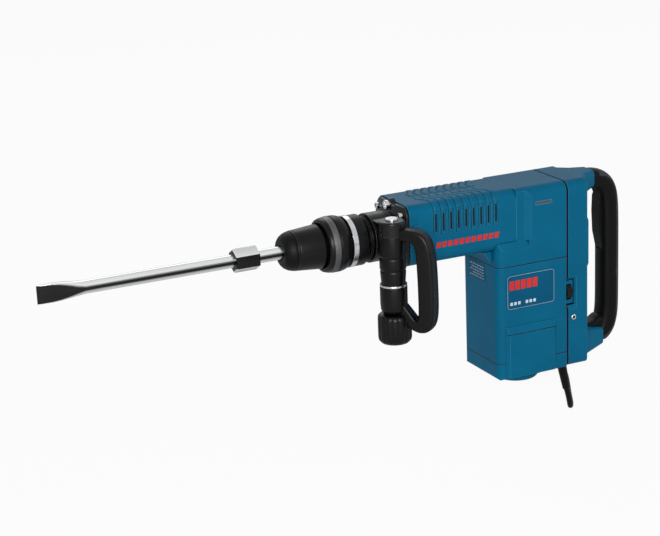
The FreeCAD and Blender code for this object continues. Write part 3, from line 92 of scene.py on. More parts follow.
class Shader:
    """A material's node tree with short calls for what the materials below need."""

    def __init__(self, name):
        self.material = bpy.data.materials.new(name)
        self.material.use_nodes = True
        self.tree = self.material.node_tree
        self.surface = self.tree.nodes["Principled BSDF"]
        self.place = self.add("ShaderNodeTexCoord").outputs["Object"]

    def add(self, kind, **settings):
        node = self.tree.nodes.new(kind)
        for key, value in settings.items():
            setattr(node, key, value)
        return node

    def link(self, source, target):
        self.tree.links.new(source, target)

    def stretched(self, scale):
        node = self.add("ShaderNodeMapping")
        self.link(self.place, node.inputs["Vector"])
        node.inputs["Scale"].default_value = scale
        return node.outputs["Vector"]

    def noise(self, scale, detail=2.0, stretch=(1, 1, 1)):
        node = self.add("ShaderNodeTexNoise")
        self.link(self.stretched(stretch), node.inputs["Vector"])
        node.inputs["Scale"].default_value = scale
        node.inputs["Detail"].default_value = detail
        return node.outputs["Fac"]

    def spread(self, value, low, high, to_low, to_high):
        node = self.add("ShaderNodeMapRange")
        self.link(value, node.inputs["Value"])
        node.inputs["From Min"].default_value = low
        node.inputs["From Max"].default_value = high
        node.inputs["To Min"].default_value = to_low
        node.inputs["To Max"].default_value = to_high
        return node.outputs["Result"]

    def mix(self, factor, a, b):
        node = self.add("ShaderNodeMix", data_type="RGBA")
        self.link(factor, node.inputs[0])
        for socket, colour in ((node.inputs[6], a), (node.inputs[7], b)):
            if isinstance(colour, tuple):
                socket.default_value = colour
            else:
                self.link(colour, socket)
        return node.outputs[2]

    def edges(self, radius):
        """1 along rounded edges and 0 on flats, from how far a bevel turns the normal."""
        bevel = self.add("ShaderNodeBevel", samples=6)
        bevel.inputs["Radius"].default_value = radius
        geometry = self.add("ShaderNodeNewGeometry")
        dot = self.add("ShaderNodeVectorMath", operation="DOT_PRODUCT")
        self.link(bevel.outputs["Normal"], dot.inputs[0])
        self.link(geometry.outputs["Normal"], dot.inputs[1])
        self.bevel = bevel.outputs["Normal"]
        return self.spread(dot.outputs["Value"], 0.995, 0.9, 0.0, 1.0)

    def open_sky(self, reach):
        """1 on open surfaces and 0 deep in grooves narrower than reach."""
        shelter = self.add("ShaderNodeAmbientOcclusion", samples=8)
        shelter.inputs["Distance"].default_value = reach
        return shelter.outputs["AO"]

    def bump(self, height, strength, distance):
        node = self.add("ShaderNodeBump")
        node.inputs["Strength"].default_value = strength
        node.inputs["Distance"].default_value = distance
        self.link(height, node.inputs["Height"])
        if hasattr(self, "bevel"):
            self.link(self.bevel, node.inputs["Normal"])
        self.link(node.outputs["Normal"], self.surface.inputs["Normal"])

    def set(self, **values):
        for key, value in values.items():
            self.surface.inputs[key.replace("_", " ")].default_value = value


def moulded(name, body, shade, edge_highlight, rough, radius=0.0012, grain=900.0, strength=0.12,
            gloss=0.35):
    """Moulded plastic: faint mottling, fine spark-eroded grain, smoother edges with a painted
    highlight along them, and painted shade in its grooves.
    """
    m = Shader(name)
    tone = m.mix(m.spread(m.noise(14.0, 3.0), 0.35, 0.65, 0.0, 1.0), shade, body)
    sky = m.open_sky(0.004)
    edge = m.add("ShaderNodeMath", operation="MULTIPLY")
    m.link(m.edges(radius), edge.inputs[0])
    m.link(m.spread(sky, 0.6, 0.95, 0.0, 1.0), edge.inputs[1])
    # Painted highlight: rounded edges are lifted towards the paler edge colour, except inside
    # sheltered hollows.
    lit = m.mix(edge.outputs[0], tone, edge_highlight)
    # Painted shade: grooves and recesses darken towards a near-black version of the body colour.
    recess_shade = (body[0] * 0.12, body[1] * 0.12, body[2] * 0.12, 1.0)
    m.link(m.mix(m.spread(sky, 0.3, 0.75, 0.0, 1.0), recess_shade, lit), m.surface.inputs["Base Color"])
    fine = m.noise(grain, 2.0)
    m.link(m.spread(fine, 0.3, 0.7, rough - 0.06, rough + 0.08), m.surface.inputs["Roughness"])
    m.bump(fine, strength, 0.0004)
    m.set(Specular_IOR_Level=gloss)
    return m.material


def rubber(name, body, shade, edge_highlight, rough, grain=700.0):
    """Soft rubber with a matt skin, a slight sheen and a painted highlight along its edges."""
    m = Shader(name)
    tone = m.mix(m.spread(m.noise(22.0, 3.0), 0.35, 0.65, 0.0, 1.0), shade, body)
    edge = m.edges(0.0015)
    # Painted highlight: rounded edges are lifted towards the paler edge colour.
    m.link(m.mix(edge, tone, edge_highlight), m.surface.inputs["Base Color"])
    fine = m.noise(grain, 3.0)
    m.link(m.spread(fine, 0.3, 0.7, rough - 0.05, rough + 0.1), m.surface.inputs["Roughness"])
    m.bump(fine, 0.2, 0.0005)
    m.set(Sheen_Weight=0.02, Sheen_Roughness=0.5, Specular_IOR_Level=0.14)
    return m.material


def bar_with_painted_reflections(name):
    """Bright bar stock with painted reflections: its base colour is pale along the top and
    underside and dark where its side faces out, picked by which way each face points.
    """
    m = Shader(name)
    # Painted reflection: pale and dark bands in the base colour, chosen by the world-space
    # direction of each face's normal.
    geometry = m.add("ShaderNodeNewGeometry")
    split = m.add("ShaderNodeSeparateXYZ")
    m.link(geometry.outputs["Normal"], split.inputs[0])
    ramp = m.add("ShaderNodeValToRGB")
    height = m.spread(split.outputs["Z"], -1.0, 1.0, 0.0, 1.0)
    m.link(height, ramp.inputs["Fac"])
    reflection_stops = [(0.0, 0.30), (0.14, 1.0), (0.28, 0.7), (0.40, 0.03), (0.55, 0.02), (0.64, 0.25),
             (0.74, 1.0), (0.90, 1.0), (1.0, 0.6)]
    bands = ramp.color_ramp.elements
    bands[0].position, bands[1].position = reflection_stops[0][0], reflection_stops[-1][0]
    for place, _ in reflection_stops[1:-1]:
        bands.new(place)
    for band, (place, tone) in zip(bands, reflection_stops):
        band.color = (tone, tone, tone * 0.99, 1.0)
    streak = m.noise(180.0, 3.0, (0.04, 1.0, 1.0))
    dull = m.add("ShaderNodeMix", data_type="RGBA", blend_type="MULTIPLY")
    dull.inputs[0].default_value = 0.5
    m.link(ramp.outputs["Color"], dull.inputs[6])
    m.link(m.mix(streak, (0.7, 0.7, 0.7, 1.0), (1.0, 1.0, 1.0, 1.0)), dull.inputs[7])
    m.edges(0.0008)
    m.link(dull.outputs[2], m.surface.inputs["Base Color"])
    m.link(m.spread(streak, 0.3, 0.7, 0.3, 0.22), m.surface.inputs["Roughness"])
    m.bump(streak, 0.05, 0.0003)
    m.set(Metallic=1.0)
    return m.material


def metal(name, light, dark, rough, stretch=(1, 1, 1), scale=60.0, strength=0.05):
    """Ground or cast metal: streaks or grain in its tone and roughness."""
    m = Shader(name)
    streak = m.noise(scale, 4.0, stretch)
    m.edges(0.0006)
    m.link(m.mix(m.spread(streak, 0.3, 0.7, 0.0, 1.0), dark, light), m.surface.inputs["Base Color"])
    m.link(m.spread(streak, 0.3, 0.7, rough + 0.08, rough - 0.04), m.surface.inputs["Roughness"])
    m.bump(streak, strength, 0.0003)
    m.set(Metallic=1.0)
    return m.material


# The last colour given to each moulded and rubber material is the painted highlight along its
# edges.
BLUE = moulded("blue_moulding", srgb(0, 92, 124), srgb(0, 85, 117), srgb(48, 130, 162), 0.42,
                gloss=0.09)
BLACK = moulded("black_moulding", srgb(5, 5, 6), srgb(3, 3, 4), srgb(40, 42, 45), 0.34,
                 gloss=0.22)
DARK_BLUE = moulded("plate_blue", srgb(0, 80, 112), srgb(0, 72, 104), srgb(70, 120, 150), 0.35,
                    0.0008, 1500.0, 0.05, gloss=0.1)
INLAY = moulded("inlay_grey", srgb(62, 78, 90), srgb(52, 68, 80), srgb(110, 125, 138), 0.4)
RUBBER = rubber("grip_rubber", srgb(4, 4, 5), srgb(2, 2, 3), srgb(30, 31, 34), 0.46)
REAR_STRIP = rubber("grip_rear_strip", srgb(58, 60, 63), srgb(48, 50, 53), srgb(90, 92, 96), 0.55)
CORD = rubber("cord_rubber", srgb(9, 9, 10), srgb(6, 6, 7), srgb(42, 44, 47), 0.4)
COATED = moulded("black_coating", srgb(8, 8, 9), srgb(5, 5, 6), srgb(78, 81, 86), 0.28,
                 0.001, 420.0, 0.2, gloss=0.3)
STEEL = metal("ground_steel", (0.62, 0.62, 0.63, 1), (0.42, 0.42, 0.43, 1), 0.3)
BRIGHT = metal("bright_steel", (0.78, 0.78, 0.79, 1), (0.6, 0.6, 0.61, 1), 0.2)
PAINTED_REFLECTION_BAR = bar_with_painted_reflections("bar_painted_reflections")
CAST = metal("cast_aluminium", (0.6, 0.6, 0.61, 1), (0.48, 0.48, 0.49, 1), 0.45,
             (1, 1, 1), 300.0, 0.2)
IRON = metal("laminated_iron", (0.22, 0.22, 0.23, 1), (0.12, 0.12, 0.13, 1), 0.5,
             (0.1, 0.1, 9.0), 120.0, 0.2)
COPPER = metal("enamelled_copper", (0.72, 0.36, 0.18, 1), (0.5, 0.22, 0.1, 1), 0.32)
RED = moulded("red_print", srgb(205, 38, 30), srgb(190, 30, 24), srgb(220, 70, 60), 0.4,
              0.0003, 1500.0, 0.03)
WHITE = moulded("pale_print", srgb(200, 208, 214), srgb(186, 195, 202), srgb(225, 230, 235), 0.4,
                0.0003, 1500.0, 0.03)
PALE_LINE = moulded("pale_line", srgb(140, 162, 178), srgb(128, 150, 166), srgb(160, 180, 194),
                    0.4, 0.0003, 1500.0, 0.03)
SATIN = metal("satin_ring", (0.15, 0.15, 0.155, 1), (0.1, 0.1, 0.105, 1), 0.45,
              (1, 1, 1), 500.0, 0.06)

FINISH = {
    "barrel_housing": BLUE, "gear_housing": BLUE, "motor_housing": BLUE, "bottom_cap": BLUE,
    "brush_covers": BLUE, "rear_shell": BLUE, "badge_plates": DARK_BLUE,
    "rating_plate": DARK_BLUE, "side_inlays": INLAY, "rear_plate": BLUE, "trigger": RUBBER,
    "seam_seal": RUBBER, "main_grip": RUBBER, "damping_ring": RUBBER, "dust_cap": RUBBER,
    "shell_screws": STEEL, "trigger_pin": STEEL, "armature_shaft": STEEL, "bearings": STEEL,
    "crank_gear": STEEL, "crankshaft": STEEL, "cylinder": STEEL, "piston_pin": STEEL,
    "crank_pin": STEEL, "striker": STEEL, "anvil": STEEL, "tool_sleeve": STEEL,
    "locking_rollers": STEEL, "locking_spring": STEEL,
    "service_lamp": BLACK, "case_screws": BRIGHT, "steel_ring": BRIGHT, "clamp_bolt": BRIGHT,
    "chisel": PAINTED_REFLECTION_BAR, "gear_plate": CAST, "crankcase": CAST, "piston": CAST,
    "connecting_rod": CAST, "stator_core": IRON, "armature_core": IRON,
    "stator_windings": COPPER, "commutator": COPPER, "brush_holders": COPPER,
    "holder_bush": COPPER, "gear_case": COATED, "clamp_band": COATED,
    "speed_wheel": BLACK, "electronics_module": BLACK, "switch_module": BLACK,
    "cooling_fan": BLACK, "carbon_brushes": BLACK, "neck_cover": BLACK,
    "locking_sleeve": BLACK, "index_ring": BLACK, "side_handle": BLACK, "clamp_knob": BLACK,
    "cord_boot": CORD, "cord_lead": CORD, "cord_coil": CORD, "plug": CORD,
}


def finish_frame():
    for name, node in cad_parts.items():
        node.data.materials.clear()
        node.data.materials.append(FINISH[name])


finish_frame()


# ---- building blocks ------------------------------------------------------------------------
def add_piece(name, data, material, body):
    piece = bpy.data.objects.new(name, data)
    bpy.context.scene.collection.objects.link(piece)
    data.materials.append(material)
    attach(piece, body)
    return piece


def mesh_from(name, verts, faces, smooth=True):
    mesh = bpy.data.meshes.new(name)
    mesh.from_pydata(verts, [], faces)
    mesh.update()
    for face in mesh.polygons:
        face.use_smooth = smooth
    return mesh


def mesh_piece(name, parts, material, body, bevel=0.0, subdivide=0, smooth=True):
    """One mesh piece from (points, faces) parts in tool millimetres, softened by modifiers."""
    verts, faces = [], []
    for points, loops in parts:
        faces += [tuple(len(verts) + i for i in loop) for loop in loops]
        verts += [at(*point) for point in points]
    piece = add_piece(name, mesh_from(name, verts, faces, smooth), material, body)
    if bevel:
        soft = piece.modifiers.new("soft_edges", "BEVEL")
        soft.width = bevel * MM
        soft.segments = 3
        soft.limit_method = "ANGLE"
        soft.angle_limit = math.radians(24)
    if subdivide:
        finer = piece.modifiers.new("finer", "SUBSURF")
        finer.levels = finer.render_levels = subdivide
    return piece


def closed_loft(rings):
    """Points and faces of a tube through rings of points, with both ends closed."""
    count = len(rings[0])
    points = [point for ring in rings for point in ring]
    loops = [tuple(reversed(range(count)))]
    for i in range(len(rings) - 1):
        for j in range(count):
            k = (j + 1) % count
            loops.append((i * count + j, i * count + k, (i + 1) * count + k, (i + 1) * count + j))
    loops.append(tuple(range((len(rings) - 1) * count, len(rings) * count)))
    return points, loops


def squircle(centre, across, along, power, count=20):
    """A rounded square of points about centre; across and along are its half-axes."""
    centre, across, along = Vector(centre), Vector(across), Vector(along)
    ring = []
    for i in range(count):
        a = 2 * math.pi * i / count
        c, d = math.cos(a), math.sin(a)
        u = math.copysign(abs(c) ** (2 / power), c)
        v = math.copysign(abs(d) ** (2 / power), d)
        ring.append(centre + across * u + along * v)
    return ring


def turned(profile, count=96, y=0.0, z=0.0):
    """Points and faces of a ring turned about a line along x, from closed (x, radius) points."""
    rings = []
    for x, r in profile:
        rings.append([(x, y + r * math.cos(2 * math.pi * i / count),
                       z + r * math.sin(2 * math.pi * i / count)) for i in range(count)])
    points = [point for ring in rings for point in ring]
    loops = []
    for i in range(len(rings)):
        k = (i + 1) % len(rings)
        for j in range(count):
            n = (j + 1) % count
            loops.append((i * count + j, i * count + n, k * count + n, k * count + j))
    return points, loops


def slab(outline, y0, y1):
    """Points and faces of a plate with an (x, z) outline between y0 and y1."""
    count = len(outline)
    points = [(x, y0, z) for x, z in outline] + [(x, y1, z) for x, z in outline]
    loops = [tuple(range(count)), tuple(reversed(range(count, 2 * count)))]
    for i in range(count):
        k = (i + 1) % count
        loops.append((k, i, count + i, count + k))
    return points, loops


def rounded_outline(x0, x1, z0, z1, radii, steps=6):
    """Points round a box whose corners (low left, low right, top right, top left) are arcs."""
    corners = [(x0, z0, 1, 1, 180), (x1, z0, -1, 1, 270), (x1, z1, -1, -1, 0), (x0, z1, 1, -1, 90)]
    outline = []
    for (x, z, right, up, first), r in zip(corners, radii):
        for i in range(steps + 1):
            a = math.radians(first + 90 * i / steps)
            outline.append((x + right * r + r * math.cos(a), z + up * r + r * math.sin(a)))
    return outline


def frame_band(outer, inner, low, high, place):
    """Points and faces of a closed band between two outlines; place(a, b, height) is a point."""
    count = len(outer)
    rings = [(outer, low), (outer, high), (inner, high), (inner, low)]
    points = [place(a, b, level) for outline, level in rings for a, b in outline]
    loops = []
    for i in range(4):
        k = (i + 1) % 4
        for j in range(count):
            n = (j + 1) % count
            loops.append((i * count + j, i * count + n, k * count + n, k * count + j))
    return points, loops


def outward(piece):
    """Turns every face of a closed piece to face out."""
    mesh = bmesh.new()
    mesh.from_mesh(piece.data)
    bmesh.ops.recalc_face_normals(mesh, faces=mesh.faces)
    mesh.to_mesh(piece.data)
    mesh.free()


# ---- main grip ------------------------------------------------------------------------------
GRIP_POWER = 2.7
# Stations down the grip: centre x and z, the outer side's direction in degrees, half thickness
# and half width.
GRIP_STATIONS = [
    (178.6, 31.0, 102.0, 14.8, 16.8),
    (181.0, 31.2, 100.0, 14.8, 17.0),
    (189.0, 30.8, 86.0, 15.0, 17.0),
    (199.0, 26.5, 62.0, 16.0, 17.0),
    (207.0, 16.5, 32.0, 16.0, 17.0),
    (211.4, 1.5, 9.0, 15.2, 17.0),
    (212.6, -25.0, 1.0, 15.0, 17.0),
    (212.8, -70.0, 0.0, 15.0, 17.0),
    (212.8, -115.0, 0.0, 15.0, 17.0),
    (212.8, -155.0, 0.0, 15.0, 17.0),
    (211.8, -176.0, -6.0, 15.4, 17.0),
    (207.0, -193.5, -32.0, 16.0, 17.0),
    (199.5, -203.0, -62.0, 14.0, 17.0),
    (194.5, -204.0, -74.0, 12.6, 16.8),
]
TOE_STATIONS = [
    (206.0, -182.0, 130.0, 16.0, 14.0),
    (192.0, -186.5, 122.0, 8.0, 13.6),
    (180.0, -188.0, 95.0, 5.2, 13.4),
    (164.0, -189.4, 92.0, 4.6, 13.0),
    (151.5, -190.0, 90.0, 4.2, 13.0),
]
HIGH_BEND = (190.0, 8.0)         # centres of the grip's two bends
LOW_BEND = (190.0, -178.0)
STRIP_FROM = 28.5                # the grey strip starts this far out from them
TRIGGER_SLOT = (190.0, 217.5, -9.7, 9.7, -77.0, 14.0)


def arc_rings(stations, power):
    rings = []
    for x, z, degrees, thick, wide in stations:
        a = math.radians(degrees)
        rings.append(squircle((x, 0, z), (thick * math.cos(a), 0, thick * math.sin(a)),
                              (0, wide, 0), power, 24))
    return rings


def box_faces(x0, x1, y0, y1, z0, z1):
    return slab([(x0, z0), (x1, z0), (x1, z1), (x0, z1)], y0, y1)


def carve(piece, cutter):
    """Cuts a slot out of a piece and keeps the result as its mesh."""
    cut = piece.modifiers.new("slot", "BOOLEAN")
    cut.operation = "DIFFERENCE"
    cut.solver = "EXACT"
    cut.object = cutter
    bpy.context.view_layer.update()
    graph = bpy.context.evaluated_depsgraph_get()
    made = bpy.data.meshes.new_from_object(piece.evaluated_get(graph))
    piece.modifiers.clear()
    piece.data = made
    bpy.data.objects.remove(cutter)
    for face in piece.data.polygons:
        face.use_smooth = True
    crease = piece.data.attributes.get("sharp_edge") or piece.data.attributes.new(
        "sharp_edge", "BOOLEAN", "EDGE")
    mesh = bmesh.new()
    mesh.from_mesh(piece.data)
    sharp = [len(e.link_faces) == 2 and e.calc_face_angle(0.0) > math.radians(35)
             for e in mesh.edges]
    mesh.free()
    crease.data.foreach_set("value", sharp)


def make_main_grip():
    grip = mesh_piece("main_grip_cover", [closed_loft(arc_rings(GRIP_STATIONS, GRIP_POWER))],
                      RUBBER, "housing", subdivide=2)
    outward(grip)
    cutter = bpy.data.objects.new("cutter", mesh_from("cutter", [], []))
    points, loops = box_faces(*TRIGGER_SLOT)
    cutter.data = mesh_from("cutter", [at(*point) for point in points], loops)
    bpy.context.scene.collection.objects.link(cutter)
    outward(cutter)
    carve(grip, cutter)
    grip.data.materials.append(REAR_STRIP)
    for face in grip.data.polygons:
        x = face.center.x / MM + GRIP.x
        z = face.center.z / MM + GRIP.z
        bend_z = min(max(z, LOW_BEND[1]), HIGH_BEND[1])
        if x > HIGH_BEND[0] and math.hypot(x - HIGH_BEND[0], z - bend_z) > STRIP_FROM:
            face.material_index = 1
    toe = mesh_piece("main_grip_toe", [closed_loft(arc_rings(TOE_STATIONS, 3.0))],
                     RUBBER, "housing", subdivide=2)
    outward(toe)
    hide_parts("main_grip")


make_main_grip()


# ---- side handle ----------------------------------------------------------------------------
STEM = (-165.0, -55.0)           # x and y of the handle's upright axis
LOOP_ANGLE = math.radians(-50.3)
LOOP_U = Vector((math.cos(LOOP_ANGLE), math.sin(LOOP_ANGLE), 0))
LOOP_V = Vector((-LOOP_U.y, LOOP_U.x, 0))
# Stations round the loop: distance from the stem, height, the outer side's direction in degrees,
# half thickness and half depth.
LOOP_STATIONS = [
    (6.0, 17.5, 90.0, 8.5, 9.5),
    (18.0, 18.0, 90.0, 8.5, 10.0),
    (33.0, 17.5, 88.0, 9.0, 11.0),
    (43.0, 11.5, 50.0, 13.0, 11.5),
    (48.0, -4.0, 10.0, 12.0, 12.0),
    (49.5, -35.0, 0.0, 12.0, 12.0),
    (50.0, -65.0, 0.0, 12.0, 12.0),
    (50.0, -93.0, -3.0, 12.0, 12.0),
    (46.5, -105.0, -42.0, 13.5, 11.5),
    (36.0, -109.0, -80.0, 9.5, 10.5),
    (27.0, -103.5, -124.0, 8.5, 9.5),
    (17.0, -90.0, -140.0, 7.5, 9.0),
    (6.0, -76.0, -140.0, 7.0, 8.5),
]

# Profiles about the stem's axis: height and radius.
STEM_PROFILE = [(15.5, 3.0), (15.7, 18.0), (-12.0, 18.0), (-13.0, 17.2), (-15.0, 17.2),
                (-16.0, 18.0), (-30.0, 18.0), (-31.0, 17.0), (-33.0, 17.0), (-34.0, 17.6),
                (-50.0, 16.4), (-54.5, 16.2), (-55.5, 18.6), (-78.0, 18.6), (-87.0, 18.0),
                (-92.5, 15.0), (-92.5, 3.0)]
STEM_RING = [(-51.6, 16.0), (-51.6, 18.4), (-53.6, 18.7), (-54.5, 18.2), (-54.5, 16.0)]


def loop_place(u, v, z):
    spot = Vector((STEM[0], STEM[1], 0)) + LOOP_U * u + LOOP_V * v
    return (spot.x, spot.y, z)


def upright(profile, centre, count=72):
    """Points and faces turned about an upright line from closed (z, radius) points."""
    points, loops = turned(profile, count)
    return [(centre[0] + y, centre[1] + z, x) for x, y, z in points], loops


def make_side_handle():
    rings = []
    for u, z, degrees, thick, deep in LOOP_STATIONS:
        a = math.radians(degrees)
        out = LOOP_U * (thick * math.cos(a)) + Vector((0, 0, thick * math.sin(a)))
        rings.append(squircle(loop_place(u, 0, z), out, LOOP_V * deep, 4.6, 24))
    loop = mesh_piece("side_handle_loop", [closed_loft(rings)], BLACK, "side_handle",
                      subdivide=2)
    outward(loop)
    post = mesh_piece("side_handle_post", [upright(STEM_PROFILE, STEM)], BLACK, "side_handle",
                      bevel=0.5)
    outward(post)
    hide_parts("side_handle")
    band = mesh_piece("side_handle_ring", [upright(STEM_RING, STEM)], BRIGHT, "side_handle",
                      bevel=0.3)
    outward(band)


make_side_handle()


KNOB_FLUTES = 14
# Rings down the knob: height, radius and how deep the flutes are.
KNOB_RINGS = [(-93.4, 17.5, 0.0), (-94.2, 20.0, 0.2), (-96.5, 22.4, 1.0), (-100.0, 23.0, 1.6),
              (-126.0, 23.0, 1.6), (-130.0, 22.2, 1.2), (-133.6, 19.0, 0.3), (-135.0, 14.0, 0.0)]


def make_knob():
    """Fluted knob under the side handle, with a domed end."""
    count = KNOB_FLUTES * 8
    rings = []
    for z, r, depth in KNOB_RINGS:
        ring = []
        for i in range(count):
            a = 2 * math.pi * i / count
            flute = max(0.0, math.cos(KNOB_FLUTES * a)) ** 3
            reach = r - depth * flute
            ring.append((STEM[0] + reach * math.cos(a), STEM[1] + reach * math.sin(a), z))
        rings.append(ring)
    knob = mesh_piece("clamp_knob_grip", [closed_loft(rings)], BLACK, "knob")
    outward(knob)
    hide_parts("clamp_knob")


make_knob()


# ---- chuck ----------------------------------------------------------------------------------
# Profiles about the hammer axis: x and radius.
NOSE_PROFILE = [(-289.6, 9.8), (-303.0, 9.8), (-304.0, 11.5), (-304.2, 15.5), (-303.2, 19.0),
                (-300.2, 22.4), (-295.5, 25.2), (-291.6, 26.4), (-289.8, 26.7), (-289.6, 26.3)]
SLEEVE_PROFILE = [(-289.0, 21.5), (-289.0, 26.4), (-288.2, 27.2), (-286.6, 27.4),
                  (-286.0, 26.9), (-285.0, 26.9), (-284.4, 27.5), (-251.5, 30.3),
                  (-250.0, 30.2), (-250.0, 26.4), (-230.0, 26.4), (-230.0, 23.9),
                  (-281.0, 23.9), (-281.0, 21.5)]
RING_PROFILE = [(-246.0, 31.2), (-246.0, 33.6), (-244.4, 36.0), (-240.4, 37.2),
                (-239.6, 37.4), (-232.6, 38.5), (-231.4, 38.4), (-230.8, 37.2),
                (-229.6, 37.2), (-229.0, 38.4), (-223.0, 38.3), (-217.5, 37.0),
                (-214.0, 34.6), (-213.2, 33.0), (-213.2, 28.0), (-229.0, 28.0),
                (-231.0, 31.2)]
SATIN_BAND = (-240.0, -232.0)
SATIN_FROM_R = 36.0


def make_chuck():
    cap = mesh_piece("nose_cap", [turned(NOSE_PROFILE)], RUBBER, "tool_holder",
                     bevel=0.4)
    outward(cap)
    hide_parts("dust_cap")
    lock = mesh_piece("locking_sleeve_skin", [turned(SLEEVE_PROFILE)], BLACK, "locking_sleeve",
                      bevel=0.2)
    outward(lock)
    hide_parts("locking_sleeve")
    wheel = mesh_piece("turning_ring", [turned(RING_PROFILE)], BLACK, "index_ring",
                       bevel=0.35)
    outward(wheel)
    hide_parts("index_ring")
    wheel.data.materials.append(SATIN)
    axis_z = at(0, 0, 0).z
    for face in wheel.data.polygons:
        x = face.center.x / MM + GRIP.x
        r = math.hypot(face.center.y, face.center.z - axis_z) / MM
        if SATIN_BAND[0] < x < SATIN_BAND[1] and r > SATIN_FROM_R:
            face.material_index = 1


make_chuck()


# ---- chisel ---------------------------------------------------------------------------------
BAR_R = 8.8
# Stations from the cutting edge back: x, half thickness, half width and how square the section is.
BLADE_STATIONS = [
    (-638.0, 0.5, 12.5, 9.0),
    (-631.0, 2.6, 12.5, 9.0),
    (-618.0, 3.9, 12.4, 8.0),
    (-607.0, 4.9, 11.8, 6.0),
    (-596.0, 6.4, 10.6, 4.0),
    (-586.0, 7.9, 9.5, 2.8),
    (-576.0, BAR_R, BAR_R, 2.0),
    (-560.0, BAR_R, BAR_R, 2.0),
    (-380.0, BAR_R, BAR_R, 2.0),
    (-369.0, BAR_R, BAR_R, 2.0),
]
COLLAR = (-372.0, -338.0)
COLLAR_FLAT = 14.5               # half the collar's width across flats
COLLAR_CHAMFER = 1.6
SHANK_START = -345.0
SHANK_END = -205.0
SHANK_R = 9.0


def make_chisel():
    rings = [squircle((x, 0, 0), (0, thick, 0), (0, 0, wide), power, 48)
             for x, thick, wide, power in BLADE_STATIONS]
    shank = [(SHANK_START, 0.5), (SHANK_START, SHANK_R), (SHANK_END - 1.0, SHANK_R),
             (SHANK_END, SHANK_R - 1.0), (SHANK_END, 0.5)]
    bar = mesh_piece("chisel_bar", [closed_loft(rings), turned(shank)], PAINTED_REFLECTION_BAR, "chisel",
                     bevel=0.15)
    outward(bar)
    corner = COLLAR_FLAT / math.cos(math.pi / 6)
    rings = []
    for x, share in ((COLLAR[0], 0.9), (COLLAR[0] + COLLAR_CHAMFER, 1.0),
                     (COLLAR[1] - COLLAR_CHAMFER, 1.0), (COLLAR[1], 0.9)):
        rings.append([(x, share * corner * math.cos(math.radians(60 * i + 30)),
                       share * corner * math.sin(math.radians(60 * i + 30))) for i in range(6)])
    hexagon = mesh_piece("chisel_collar", [closed_loft(rings)], PAINTED_REFLECTION_BAR, "chisel",
                         bevel=0.5)
    outward(hexagon)
    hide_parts("chisel")


make_chisel()


# ---- marks and trim -------------------------------------------------------------------------
def slanted(x0, x1, z0, z1, lean):
    """Corners of a box from (x0, z0) to (x1, z1) whose top leans over by lean."""
    return [(x0, z0), (x1, z0), (x1 + lean, z1), (x0 + lean, z1)]


def both_sides(parts):
    """The same parts on the +y side as well."""
    made = list(parts)
    for points, loops in parts:
        made.append(([(x, -y, z) for x, y, z in points], [tuple(reversed(loop)) for loop in loops]))
    return made


# Rows of marks: how many, where the first starts, their pitch and width, and low and high z.
DASH_ROW = (11, -94.0, 9.1, 6.4, -17.0, -9.2)
BAR_ROW = (5, 17.5, 9.4, 7.4, -96.0, -82.5)
SMALL_ROW = (7, 18.5, 6.2, 4.1, -118.0, -113.6)
SMALL_GAP = 3                    # this place in the small row stays empty
DASH_LEAN = 1.8
DASH_DEPTH = (-46.25, -45.6)     # y of each print's outer and inner face
BADGE_DEPTH = (-51.45, -51.1)


def mark_row(row, lean, depth, gap=None):
    count, first, pitch, width, low, high = row
    return [slab(slanted(first + pitch * i, first + width + pitch * i, low, high, lean), *depth)
            for i in range(count) if i != gap]


def make_marks():
    """Plain dashes and bars where such a tool carries printing."""
    for name, parts, material, slot, bevel in (
            ("barrel_dashes", mark_row(DASH_ROW, DASH_LEAN, DASH_DEPTH), RED, "plate_blue", 0.15),
            ("badge_bars", mark_row(BAR_ROW, 0.0, BADGE_DEPTH), RED, "plate_blue", 0.12),
            ("badge_small_marks", mark_row(SMALL_ROW, 0.0, BADGE_DEPTH, SMALL_GAP), WHITE,
             "grey_plastic", 0.1)):
        outward(mesh_piece(name, both_sides(parts), material, "housing", bevel=bevel))


make_marks()


BADGE_RIM = (14.0, 90.1, -123.4, -75.0, 4.6)      # x and z limits and the corners' radius
RIM_WIDE = 0.7
RIM_DEPTH = (-51.42, -51.2)
RATING_ROWS = 5
RATING_DASHES = 6
RATING_START = (-11.0, -70.0)                     # y and z of the first dash
RATING_PITCH = 4.2
RATING_DEPTH = (-0.75, -0.5)


def make_plates():
    """A fine rim round each name plate and blank rows of dashes on the rating plate."""
    x0, x1, z0, z1, r = BADGE_RIM
    inner = rounded_outline(x0 + RIM_WIDE, x1 - RIM_WIDE, z0 + RIM_WIDE, z1 - RIM_WIDE,
                            [r - RIM_WIDE] * 4)
    rim = frame_band(rounded_outline(x0, x1, z0, z1, [r] * 4), inner, *RIM_DEPTH,
                     lambda x, z, y: (x, y, z))
    edge = mesh_piece("badge_rims", both_sides([rim]), PALE_LINE, "housing")
    outward(edge)
    rows = []
    for row in range(RATING_ROWS):
        z = RATING_START[1] - RATING_PITCH * row
        y = RATING_START[0]
        for i in range(RATING_DASHES - row % 2):
            width = 3.2 + 1.7 * ((i + row) % 3)
            rows.append(box_faces(*RATING_DEPTH, y, y + width, z, z + 1.5))
            y += width + 1.6
    lines = mesh_piece("rating_dashes", rows, PALE_LINE, "housing")
    outward(lines)


make_plates()


# ---- housing details ------------------------------------------------------------------------
VENT_COUNT = 9
VENT_PITCH = 11.7
VENT_FIRST = -94.0
BARREL_SIDE = 46.0
BARREL_TOP = 46.0
BARREL_ROUND = 14.0
# Black strips set inside the vent slots as painted shade where the slots are in shadow.
SLOT_SHADE = (-0.5, 2.2, 6.5, 30.5)                   # from each slot's x, and low and high z
SLOT_SHADE_DEPTH = (-46.06, -44.5)
